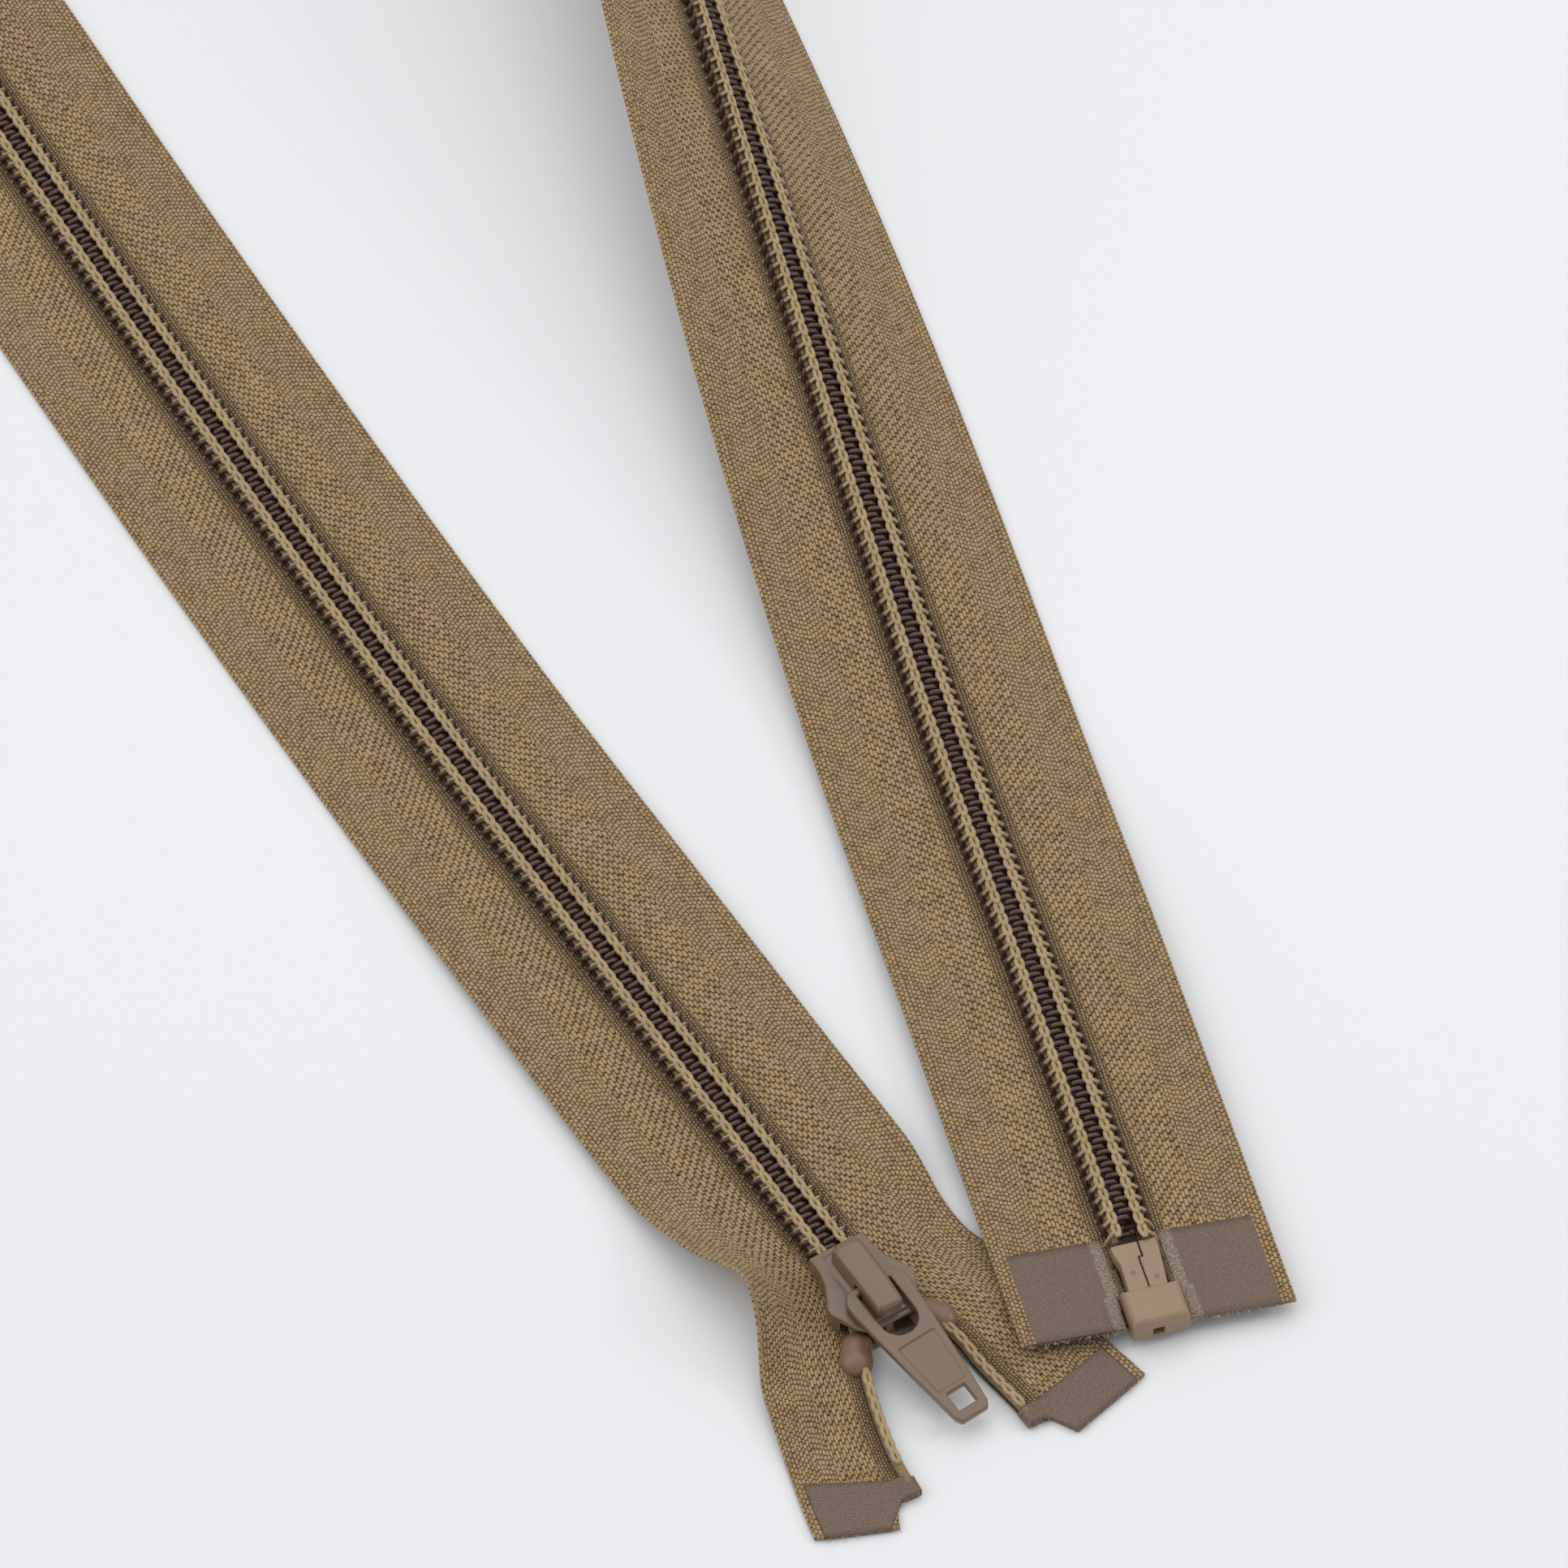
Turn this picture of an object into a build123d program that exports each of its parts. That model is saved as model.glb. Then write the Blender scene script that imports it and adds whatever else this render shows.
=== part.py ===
"""Nylon coil separating zipper, closed, with its slider at the top stops.

The closed chain makes one loop that stands on edge, and both of its ends lie flat, front face up.
The slider is at the open end, where the two tape tails part, and the retainer box is at the other end.
Left and right are those of the front face, seen with the slider end up.
"""
from build123d import *
import os
from math import cos, radians, sin, tan

os.makedirs("parts", exist_ok=True)

# ---- Driving dimensions, in millimetres and degrees ----
TAPE_HALF = 15.5  # chain centre line to the outer edge of a tape
TAPE_INNER = 0.7  # chain centre line to the inner edge of a tape
TAPE_T = 0.6
COIL_HALF = 3.05  # chain centre line to the outer turn of a coil
COIL_TOP = 2.4  # back of the tape to the top of the coil
CORD_INNER = 1.3
CORD_OUTER = 2.3
CORD_TOP = 1.6
THREAD_INNER = 0.9  # two lines of thread run along the top of each coil
THREAD_OUTER = 1.95
THREAD_WIDE = 0.4
THREAD_T = 0.22
FILM_T = 0.08
GAP = 0.02  # between faces that touch on the real zipper

# ---- Layout on the table: two resting places and the loop between them ----
SLIDER_AT = Vector(51.33, -141.52)  # middle of the slider's rear end
SLIDER_HEADING = 147.85  # clockwise from +Y, towards the tails
BOX_AT = Vector(84.23, -140.82)  # end of the coil at the retainer box
BOX_HEADING = 164.3
ARM_STRAIGHT = 40.0  # straight chain behind the slider
ARM_CURVED = 150.0  # gently curved stretch after it
ARM_TURN = 3.0
LOOP_R = 51.9
TRAVEL = 30.0  # slider travel that the spreading tape tops allow
SPREAD_AT = 4.0  # where the two coils part inside the slider, from its rear end
SPREAD_ANGLE = 20.0
SLIDER_LIFT = 1.0  # back of the tape above the table at the slider
BOX_LIFT = 1.9  # the same at the retainer box, which lies over a tape tail
TAIL_LIFT = 0.1
TWIST_START = 205.0  # distance from the slider where the chain starts to stand up
TWIST_END = 345.0
BOX_TWIST_END = 354.0  # the same two places, measured from the retainer box
BOX_TWIST_START = 45.0
SLOPE_START = 45.0  # where the lifted chain starts down to the table
SLOPE_END = 90.0
BOX_SLOPE_START = 34.0
BOX_SLOPE_END = 84.0
END_SKEW = tan(radians(4.0))  # the tape's cut end at the box is a little askew
END_CUT = 10.3

SIDES = {"left": 1, "right": -1}


# ---- The chain's path ----
def direction(heading):
    return Vector(sin(radians(heading)), cos(radians(heading)))


def arc_step(point, heading, length, turn):
    """End point of an arc, which is a straight run where the turn is zero."""
    if turn == 0:
        return point + direction(heading) * length
    radius = length / radians(turn)
    right = direction(heading + 90)
    return point + right * radius - direction(heading + turn + 90) * radius


def free_runs():
    """Lengths of the two straight runs that close the path between the slider and the box."""
    heading = SLIDER_HEADING - 180
    start = arc_step(SLIDER_AT, heading, ARM_STRAIGHT, 0)
    start = arc_step(start, heading, ARM_CURVED, ARM_TURN)
    heading += ARM_TURN
    turn = BOX_HEADING - heading
    loop = arc_step(Vector(0, 0), heading, LOOP_R * radians(turn), turn)
    to_go = BOX_AT - start - loop
    first = direction(heading)
    second = direction(BOX_HEADING)
    cross = first.X * second.Y - first.Y * second.X
    run_1 = (to_go.X * second.Y - to_go.Y * second.X) / cross
    run_2 = (first.X * to_go.Y - first.Y * to_go.X) / cross
    return run_1, turn, run_2


RUN_1, LOOP_TURN, RUN_2 = free_runs()
LOOP_LENGTH = LOOP_R * radians(LOOP_TURN)
SEGMENTS = [(ARM_STRAIGHT, 0), (ARM_CURVED, ARM_TURN), (RUN_1, 0), (LOOP_LENGTH, LOOP_TURN), (RUN_2, 0)]
CHAIN_LENGTH = sum(length for length, _ in SEGMENTS)


def path_at(s):
    """Plan position and heading at a distance s from the slider's rear end."""
    point = SLIDER_AT
    heading = SLIDER_HEADING - 180
    for number, (length, turn) in enumerate(SEGMENTS):
        last = number == len(SEGMENTS) - 1
        if s <= length or last:
            return arc_step(point, heading, s, turn * s / length), heading + turn * s / length
        point = arc_step(point, heading, length, turn)
        heading += turn
        s -= length


def smooth(value, start, end):
    t = min(max((value - start) / (end - start), 0), 1)
    return t * t * (3 - 2 * t)


def tilt_at(s):
    """How far the chain stands up on its edge, in degrees."""
    from_box = CHAIN_LENGTH - s
    return 90 * min(smooth(s, TWIST_START, TWIST_END), smooth(from_box, BOX_TWIST_START, BOX_TWIST_END))


def lift_at(s):
    near_slider = SLIDER_LIFT * (1 - smooth(s, SLOPE_START, SLOPE_END))
    near_box = BOX_LIFT * (1 - smooth(CHAIN_LENGTH - s, BOX_SLOPE_START, BOX_SLOPE_END))
    return near_slider + near_box


def chain_plane(s):
    """Cross-section plane: X across to the left tape, Y out of the front face."""
    point, heading = path_at(s)
    tilt = radians(tilt_at(s))
    across = direction(heading + 90) * cos(tilt) + Vector(0, 0, sin(tilt))
    height = lift_at(s) + TAPE_HALF * sin(tilt)
    return Plane(origin=(point.X, point.Y, height), x_dir=across, z_dir=direction(heading) * -1)


def spaced(start, end, count):
    return [start + (end - start) * n / count for n in range(count + 1)]


LOOP_START = ARM_STRAIGHT + ARM_CURVED + RUN_1
LOOP_END = LOOP_START + LOOP_LENGTH
HINGE_AT = TRAVEL - SPREAD_AT  # distance behind the slider where the tape tops bend
STATIONS = (
    spaced(HINGE_AT, SLOPE_START, 1)
    + spaced(SLOPE_START, SLOPE_END, 5)[1:]
    + spaced(SLOPE_END, TWIST_START, 5)[1:]
    + spaced(TWIST_START, LOOP_START, 7)[1:]
    + spaced(LOOP_START, LOOP_END, 18)[1:]
    + spaced(LOOP_END, CHAIN_LENGTH - BOX_SLOPE_END, 14)[1:]
    + spaced(CHAIN_LENGTH - BOX_SLOPE_END, CHAIN_LENGTH - BOX_SLOPE_START, 6)[1:]
    + [CHAIN_LENGTH]
)


# ---- Cross-sections, as points (distance from the chain's centre, height above the tape's back) ----
TAPE_OUTLINE = [(TAPE_INNER, 0), (TAPE_HALF, 0), (TAPE_HALF, TAPE_T), (TAPE_INNER, TAPE_T)]
COIL_OUTLINE = [
    (GAP, TAPE_T),
    (CORD_INNER, TAPE_T),
    (CORD_INNER, CORD_TOP),
    (CORD_OUTER, CORD_TOP),
    (CORD_OUTER, TAPE_T),
    (COIL_HALF, TAPE_T),
    (COIL_HALF, COIL_TOP - 0.5),
    (COIL_HALF - 0.5, COIL_TOP),
    (0.5, COIL_TOP),
    (GAP, COIL_TOP - 0.4),
]
CORD_OUTLINE = [
    (CORD_INNER + GAP, TAPE_T),
    (CORD_OUTER - GAP, TAPE_T),
    (CORD_OUTER - GAP, CORD_TOP - GAP),
    (CORD_INNER + GAP, CORD_TOP - GAP),
]


def thread_outline(inner):
    outer = inner + THREAD_WIDE
    top = COIL_TOP + THREAD_T
    return [(inner, COIL_TOP), (outer, COIL_TOP), (outer, top), (inner, top)]


THREAD_OUTLINES = [thread_outline(THREAD_INNER), thread_outline(THREAD_OUTER - THREAD_WIDE)]


def section(plane, outline, side, across=0.0, up=0.0):
    """One closed outline on a plane, mirrored to its side of the chain and moved by (across, up)."""
    points = [(side * (u + across), h + up) for u, h in outline]
    with BuildSketch(plane) as profile:
        with BuildLine():
            Polyline(*points, close=True)
        make_face()
    return profile.sketch


def plate(plane, points):
    """A flat face from an outline, ready to extrude."""
    with BuildSketch(plane) as profile:
        with BuildLine():
            Polyline(*points, close=True)
        make_face()
    return profile.sketch


def save(piece, name):
    piece.label = name
    export_step(piece, f"parts/{name}.step")


# ---- Local frames of the two ends: X out of the end of the chain, Y to the left tape at the slider ----
slider_x = direction(SLIDER_HEADING)
slider_y = direction(SLIDER_HEADING - 90)
box_x = direction(BOX_HEADING)
SLIDER = Plane(origin=SLIDER_AT, x_dir=slider_x, z_dir=(0, 0, 1))
BOX = Plane(origin=BOX_AT, x_dir=box_x, z_dir=(0, 0, 1))


def slider_slice(x):
    """Cross-section plane of a tape top, at x in the slider's frame."""
    return Plane(origin=SLIDER_AT + slider_x * x, x_dir=slider_y, z_dir=slider_x)


# ---- Chain and tapes from the bend to the retainer box ----
SPAN = 8  # a thin strand is lofted in spans of this many steps, joined end to end
PIN_ROOM = 2.65  # the moulded pins take the place of the tape's inner edge
BOX_ROOM = 3.45
BOX_REAR = 6.2
BOX_CLEAR = 0.1
END_SPARE = 3.0  # tape lofted past its cut end, then cut away
WASTE_FAR = 20.0
WASTE_T = 6.0
skew_far = END_SKEW * WASTE_FAR
END_WASTE = [
    (END_CUT - skew_far, -WASTE_FAR),
    (END_CUT + skew_far, WASTE_FAR),
    (WASTE_FAR, WASTE_FAR),
    (WASTE_FAR, -WASTE_FAR),
]


def slab(start, half):
    """Outline of a strip along the box's X axis, from start to beyond the end of the tape."""
    return [(start, -half), (WASTE_FAR, -half), (WASTE_FAR, half), (start, half)]


for name, side in SIDES.items():
    with BuildPart() as tape:
        planes = [chain_plane(s) for s in STATIONS + [CHAIN_LENGTH + END_CUT + END_SPARE]]
        loft([section(plane, TAPE_OUTLINE, side) for plane in planes], ruled=True)
        extrude(plate(BOX, END_WASTE), amount=WASTE_T, mode=Mode.SUBTRACT)
        extrude(plate(BOX, slab(0, PIN_ROOM)), amount=WASTE_T, mode=Mode.SUBTRACT)
        extrude(plate(BOX, slab(BOX_REAR - BOX_CLEAR, BOX_ROOM)), amount=WASTE_T, mode=Mode.SUBTRACT)
    save(tape.part, f"{name}_tape")

    for kind, outlines in (
        ("coil", [COIL_OUTLINE]),
        ("filler_cord", [CORD_OUTLINE]),
        ("stitching", THREAD_OUTLINES),
    ):
        with BuildPart() as strand:
            for outline in outlines:
                sections = [section(chain_plane(s), outline, side) for s in STATIONS]
                for first in range(0, len(sections) - 1, SPAN):
                    loft(sections[first : first + SPAN + 1], ruled=True)
        save(strand.part, f"{name}_{kind}")


# ---- Tape tops: the stretch that bends away as the slider comes down, and the tails beyond it ----
COIL_STOP = 10.5  # the coil ends at the top stop
TAIL_CUT = 35.0
FLAT_FROM = 20.0  # tails lie on the table from here
STOP_TO = 16.0
FOLD_AT = 5.4  # the free width of a tape top rises from this line, clear of the slider
FOLD_SHARE = 2.4  # beyond the slider the line is this many times as far out as the inner edge
LEVEL = 0.004  # rise of an outer edge that lies as good as flat
# Stations of each tape top: x, inner edge, outer edge, height of the tape's back, rise of the outer edge.
# The right tape has more length on its outer edge than its bent tail takes up, so it stands up in a ripple.
TOP_STATIONS = {
    "left": [
        (-HINGE_AT, TAPE_INNER, TAPE_HALF, SLIDER_LIFT, LEVEL),
        (-15, TAPE_INNER, 15.4, SLIDER_LIFT, 0.6),
        (-8, TAPE_INNER, 15.2, SLIDER_LIFT, 1.2),
        (-1, TAPE_INNER, 14.7, SLIDER_LIFT, -0.7),
        (SPREAD_AT, TAPE_INNER, 14.8, SLIDER_LIFT, -0.8),
        (COIL_STOP, 3.07, 17.2, SLIDER_LIFT, -0.6),
        (STOP_TO, 5.2, 18.3, SLIDER_LIFT, -0.6),
        (FLAT_FROM, 5.4, 19.1, TAIL_LIFT, LEVEL),
        (27, 6.3, 20.4, TAIL_LIFT, LEVEL),
        (TAIL_CUT, 6.8, 22.0, TAIL_LIFT, LEVEL),
    ],
    "right": [
        (-HINGE_AT, TAPE_INNER, TAPE_HALF, SLIDER_LIFT, LEVEL),
        (-17, TAPE_INNER, 15.4, SLIDER_LIFT, 0.5),
        (-7.5, TAPE_INNER, 14.4, SLIDER_LIFT, 3.5),
        (0, TAPE_INNER, 12.0, SLIDER_LIFT, 6.5),
        (SPREAD_AT, TAPE_INNER, 12.9, SLIDER_LIFT, 5.0),
        (7, 1.79, 14.4, SLIDER_LIFT, 2.2),
        (COIL_STOP, 3.07, 16.4, SLIDER_LIFT, 0.4),
        (STOP_TO, 5.2, 17.9, SLIDER_LIFT, LEVEL),
        (FLAT_FROM, 6.4, 19.0, TAIL_LIFT, LEVEL),
        (25.5, 7.8, 20.5, TAIL_LIFT, LEVEL),
        (TAIL_CUT, 9.0, 22.9, TAIL_LIFT, LEVEL),
    ],
}
# Waste cut away beyond each tail's end, with the notch beside the inner edge
TAIL_WASTE = {
    "left": [(29.9, 24), (32.9, 10.5), (30.9, 10.2), (29.7, 8.6), (29.5, 3), (40, 3), (40, 24)],
    "right": [(28.7, 24), (33.4, 12.4), (30.4, 11.8), (30.8, 8.3), (30.8, 3), (40, 3), (40, 24)],
}
TOP_FILM = {
    "left": [(25.0, 19.0), (27.6, 7.4), (29.0, 7.6), (30.4, 10.6), (32.3, 10.9), (30.6, 19.8)],
    "right": [(23.8, 18.8), (28.8, 8.8), (30.2, 9.0), (29.9, 12.2), (32.7, 12.9), (29.6, 20.2)],
}


def inner_edge(name, x):
    """Inner edge of a tape top at x, between its stations."""
    stations = TOP_STATIONS[name]
    for near, far in zip(stations, stations[1:]):
        if x <= far[0]:
            part = (x - near[0]) / (far[0] - near[0])
            return near[1] + (far[1] - near[1]) * part, near[3] + (far[3] - near[3]) * part
    return stations[-1][1], stations[-1][3]


def strand_top(name, outline, last):
    """Sections of a strand that rides on the inner edge of a tape top, up to x = last."""
    side = SIDES[name]
    places = [x for x, *_ in TOP_STATIONS[name] if x < last] + [last]
    sections = []
    for x in places:
        edge, height = inner_edge(name, x)
        sections.append(section(slider_slice(x), outline, side, edge - TAPE_INNER, height))
    return sections


def mirrored(points, side):
    return [(x, side * y) for x, y in points]


CORD_LAST = 29.0
for name, side in SIDES.items():
    with BuildPart() as tape_top:
        slices = []
        for x, inner, outer, height, rise in TOP_STATIONS[name]:
            fold = max(FOLD_AT, inner * FOLD_SHARE)
            under = [(inner, 0), (fold, 0), (outer, rise)]
            outline = under + [(u, h + TAPE_T) for u, h in reversed(under)]
            slices.append(section(slider_slice(x), outline, side, 0, height))
        loft(slices, ruled=True)
        extrude(plate(SLIDER, mirrored(TAIL_WASTE[name], side)), amount=4, mode=Mode.SUBTRACT)
    save(tape_top.part, f"{name}_tape_top")

    with BuildPart() as coil_top:
        loft(strand_top(name, COIL_OUTLINE, COIL_STOP), ruled=True)
    save(coil_top.part, f"{name}_coil_top")

    with BuildPart() as cord_top:
        loft(strand_top(name, CORD_OUTLINE, CORD_LAST), ruled=True)
    save(cord_top.part, f"{name}_filler_cord_top")

    with BuildPart() as thread_top:
        for outline in THREAD_OUTLINES:
            loft(strand_top(name, outline, COIL_STOP), ruled=True)
    save(thread_top.part, f"{name}_stitching_top")

    with BuildPart() as film:
        outline = mirrored(TOP_FILM[name], side)
        extrude(plate(SLIDER.offset(TAIL_LIFT + TAPE_T + LEVEL), outline), amount=FILM_T)
        extrude(plate(SLIDER.offset(TAIL_LIFT - FILM_T), outline), amount=FILM_T)
        with BuildSketch(SLIDER.offset(TAIL_LIFT + TAPE_T + LEVEL)) as bead_room:
            with BuildLine():
                Polyline(*mirrored([(24, 5), (34, 5), (34, 11.5), (24, 10.2)], side), close=True)
            make_face()
        extrude(amount=FILM_T, mode=Mode.SUBTRACT)
    save(film.part, f"{name}_top_film")


# ---- Top stops: moulded clips over the inner edge of each tape ----
STOP_OUTLINE = [(12.1, 2.9), (15.6, 4.2), (15.9, 6.4), (14.6, 7.4), (11.4, 7.0), (10.7, 5.9), (10.9, 5.1), (12.1, 4.6)]
STOP_BASE = 0.35
STOP_HEIGHT = 2.85
SLOT_TOP = 1.04  # room over the tape's face for the cord
for name, side in SIDES.items():
    with BuildPart() as stop:
        extrude(plate(SLIDER.offset(STOP_BASE), mirrored(STOP_OUTLINE, side)), amount=STOP_HEIGHT)
        top_edges = stop.faces().sort_by(Axis.Z)[-1].edges()
        fillet(top_edges, radius=0.35)
        edge_10 = inner_edge(name, 10)[0] - GAP
        edge_16 = inner_edge(name, STOP_TO)[0] - GAP
        knee = inner_edge(name, COIL_STOP)[0] - GAP
        slot = [(10, edge_10), (COIL_STOP, knee), (STOP_TO, edge_16), (STOP_TO, 12), (10, 12)]
        slot_plane = SLIDER.offset(SLIDER_LIFT - GAP)
        extrude(plate(slot_plane, mirrored(slot, side)), amount=TAPE_T + SLOT_TOP, mode=Mode.SUBTRACT)
    save(stop.part, f"{name}_top_stop")


# ---- Slider body: two plates joined by a wedge, with flanges that hold the coils ----
PLATE_T = 0.85
LOWER_Z = 0.05
UPPER_Z = 3.65  # under side of the upper plate
UPPER_TOP = UPPER_Z + PLATE_T
FLANGE_Z = 1.85  # the tape slips out sideways below the flanges
BODY_LENGTH = 11.8
NOSE_DROP = 0.5
CHANNEL_HALF = 3.15
BODY_OUTLINE = [(0, 3.7), (3.6, 3.95), (6.4, 5.15), (8.6, 5.2), (10.6, 4.2), (BODY_LENGTH, 2.9)]
BODY_OUTLINE = BODY_OUTLINE + [(x, -y) for x, y in reversed(BODY_OUTLINE)]
channel_front = CHANNEL_HALF + (14 - SPREAD_AT) * tan(radians(SPREAD_ANGLE))
CHANNEL = [(-1, CHANNEL_HALF), (SPREAD_AT, CHANNEL_HALF), (14, channel_front)]
CHANNEL = CHANNEL + [(x, -y) for x, y in reversed(CHANNEL)]
WEDGE = [(5.0, 0), (10.2, 0.75), (11.3, 0.45), (11.3, -0.45), (10.2, -0.75)]
PIN_HOLE = [(2.4, -0.5), (3.8, -0.5), (3.8, 0.5), (2.4, 0.5)]
NOSE_CUT = [(8.8, UPPER_TOP), (BODY_LENGTH + 1, UPPER_TOP - NOSE_DROP), (BODY_LENGTH + 1, UPPER_TOP + 1), (8.8, 6)]

with BuildPart() as slider_body:
    extrude(plate(SLIDER.offset(FLANGE_Z), BODY_OUTLINE), amount=UPPER_TOP - FLANGE_Z)
    extrude(plate(SLIDER.offset(FLANGE_Z), CHANNEL), amount=UPPER_Z - FLANGE_Z, mode=Mode.SUBTRACT)
    extrude(plate(SLIDER.offset(UPPER_Z), PIN_HOLE), amount=PLATE_T, mode=Mode.SUBTRACT)
    side_view = Plane(origin=SLIDER_AT, x_dir=slider_x, z_dir=slider_y * -1)
    extrude(plate(side_view, NOSE_CUT), amount=8, both=True, mode=Mode.SUBTRACT)
    fillet(slider_body.edges().filter_by(Axis.Z).group_by(SortBy.LENGTH)[-1], radius=0.4)
    extrude(plate(SLIDER.offset(LOWER_Z), BODY_OUTLINE), amount=SLIDER_LIFT - 0.05 - LOWER_Z)
    extrude(plate(SLIDER.offset(LOWER_Z), WEDGE), amount=UPPER_Z - LOWER_Z)
save(slider_body.part, "slider_body")


# ---- Crown: the cap that holds the pull's cross bar and covers the lock spring ----
CROWN_REAR = 1.2
CROWN_FRONT = 11.4
CROWN_HALF = 1.7
CROWN_TOP = 7.4
CROWN_WALL = 0.45
PIVOT_X = 7.3
PIVOT_Z = 5.4
BAR_R = 0.5
SLOT_HALF = 0.75
crown_mid = (CROWN_REAR + CROWN_FRONT) / 2
crown_long = CROWN_FRONT - CROWN_REAR
seat_z = UPPER_TOP + GAP / 2

with BuildPart() as slider_crown:
    with BuildSketch(SLIDER.offset(seat_z)) as crown_base:
        with Locations((crown_mid, 0)):
            Rectangle(crown_long, 2 * CROWN_HALF)
    extrude(amount=CROWN_TOP - seat_z)
    fillet(slider_crown.faces().sort_by(Axis.Z)[-1].edges(), radius=0.7)
    with BuildSketch(SLIDER.offset(seat_z)) as crown_room:
        with Locations((crown_mid, 0)):
            Rectangle(crown_long - 2 * CROWN_WALL, 2 * (CROWN_HALF - CROWN_WALL))
    extrude(amount=CROWN_TOP - CROWN_WALL - seat_z, mode=Mode.SUBTRACT)
    with BuildSketch(SLIDER.offset(seat_z)) as bar_slot:
        with Locations((PIVOT_X, 0)):
            Rectangle(2 * SLOT_HALF, 4 * CROWN_HALF)
    extrude(amount=PIVOT_Z + SLOT_HALF - seat_z, mode=Mode.SUBTRACT)
save(slider_crown.part, "slider_crown")


# ---- Lock spring: a leaf fixed at the front, with a pin that drops between the coils ----
LEAF_Z = 6.1
LEAF_T = 0.2
LEAF_HALF = 0.8
SPRING_X = 10.6  # bend at the fixed end
LOCK_PIN_X = 3.1
LOCK_PIN_TIP = 3.22
leaf_view = Plane(origin=SLIDER_AT, x_dir=slider_x, z_dir=slider_y * -1)
with BuildPart() as lock_spring:
    with BuildSketch(leaf_view) as leaf:
        with Locations(((LOCK_PIN_X + SPRING_X) / 2, LEAF_Z + LEAF_T / 2)):
            Rectangle(SPRING_X - LOCK_PIN_X + 0.5, LEAF_T)
        with Locations((SPRING_X, LEAF_Z)):
            Circle(0.22)
        with Locations((SPRING_X, (UPPER_TOP + 0.08 + LEAF_Z) / 2)):
            Rectangle(LEAF_T, LEAF_Z - UPPER_TOP - 0.08)
    extrude(amount=LEAF_HALF, both=True)
    with BuildSketch(leaf_view) as lock_pin:
        with Locations((LOCK_PIN_X, (LOCK_PIN_TIP + LEAF_Z) / 2)):
            Rectangle(0.5, LEAF_Z - LOCK_PIN_TIP)
    extrude(amount=0.22, both=True)
save(lock_spring.part, "lock_spring")


# ---- Pull tab: lies forward over the tails, nose down, turned a little by its play ----
PULL_DIP = 9.0
PULL_YAW = 4.5
PULL_T = 1.0
PULL_LENGTH = 19.4
pull_heading = SLIDER_HEADING - PULL_YAW
pull_level = direction(pull_heading)
pull_x = pull_level * cos(radians(PULL_DIP)) - Vector(0, 0, sin(radians(PULL_DIP)))
pull_up = pull_level * sin(radians(PULL_DIP)) + Vector(0, 0, cos(radians(PULL_DIP)))
pivot = SLIDER_AT + slider_x * PIVOT_X + Vector(0, 0, PIVOT_Z)
PULL = Plane(origin=pivot, x_dir=pull_x, z_dir=pull_up)
PULL_OUTLINE = [(0, 3.1), (0.9, 3.95), (6.6, 3.6), (PULL_LENGTH - 0.5, 2.15), (PULL_LENGTH, 1.6)]
PULL_OUTLINE = PULL_OUTLINE + [(x, -y) for x, y in reversed(PULL_OUTLINE)]
WINDOW_HALF = 2.2
WINDOW_END = 7.2
HOLE_X = 16.8

with BuildPart() as pull_tab:
    with BuildSketch(PULL.offset(-PULL_T / 2)) as tab:
        with BuildLine():
            Polyline(*PULL_OUTLINE, close=True)
        make_face()
        with Locations((WINDOW_END / 2 - 0.3, 0)):
            Rectangle(WINDOW_END + 0.6 - WINDOW_HALF, 2 * WINDOW_HALF, mode=Mode.SUBTRACT)
        with Locations((WINDOW_END - WINDOW_HALF, 0)):
            Circle(WINDOW_HALF, mode=Mode.SUBTRACT)
        with Locations((HOLE_X, 0)):
            RectangleRounded(2.5, 2.6, 0.4, mode=Mode.SUBTRACT)
    extrude(amount=PULL_T)
    with BuildSketch(PULL.offset(PULL_T / 2)) as panel:
        with BuildLine():
            Polyline((8.3, 2.4), (14.6, 1.9), (14.6, -1.9), (8.3, -2.4), close=True)
        make_face()
    extrude(amount=-0.2, mode=Mode.SUBTRACT)
    across_pull = Plane(origin=pivot, x_dir=pull_x, z_dir=pull_x.cross(pull_up))
    with BuildSketch(across_pull) as bar:
        Circle(BAR_R)
    extrude(amount=3.1, both=True)
save(pull_tab.part, "pull_tab")


# ---- Retainer box and the two pins at the bottom of the chain ----
TAPE_MID = BOX_LIFT + TAPE_T / 2
BOX_FRONT = 11.3
BOX_LOW = 0.9
BOX_HIGH = 4.45
BOX_SIDE = 3.4
SOCKET_LOW = 1.55
SOCKET_HIGH = 3.55
SOCKET_SIDE = 2.7
PIN_LOW = 1.4
PIN_HIGH = 3.9
PIN_REAR = GAP
PIN_STEP = 2.0
PIN_TIP = 10.3
with BuildPart() as retainer_box:
    with BuildSketch(BOX.offset(BOX_LOW)) as shell:
        with Locations(((BOX_REAR + BOX_FRONT) / 2, 0)):
            Rectangle(BOX_FRONT - BOX_REAR, 2 * BOX_SIDE)
    extrude(amount=BOX_HIGH - BOX_LOW)
    fillet(retainer_box.edges().filter_by(Axis.Z), radius=0.5)
    fillet(retainer_box.faces().sort_by(Axis.Z)[-1].edges(), radius=0.35)
    with BuildSketch(BOX.offset(SOCKET_LOW)) as socket:
        with Locations(((BOX_REAR + PIN_TIP) / 2, 0)):
            Rectangle(PIN_TIP - BOX_REAR + 0.2, 2 * SOCKET_SIDE)
    extrude(amount=SOCKET_HIGH - SOCKET_LOW, mode=Mode.SUBTRACT)
    with BuildSketch(BOX.offset(TAPE_MID - 0.5)) as end_hole:
        with Locations((BOX_FRONT, -0.3)):
            Rectangle(3, 1.1)
    extrude(amount=1.1, mode=Mode.SUBTRACT)
save(retainer_box.part, "retainer_box")

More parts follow.
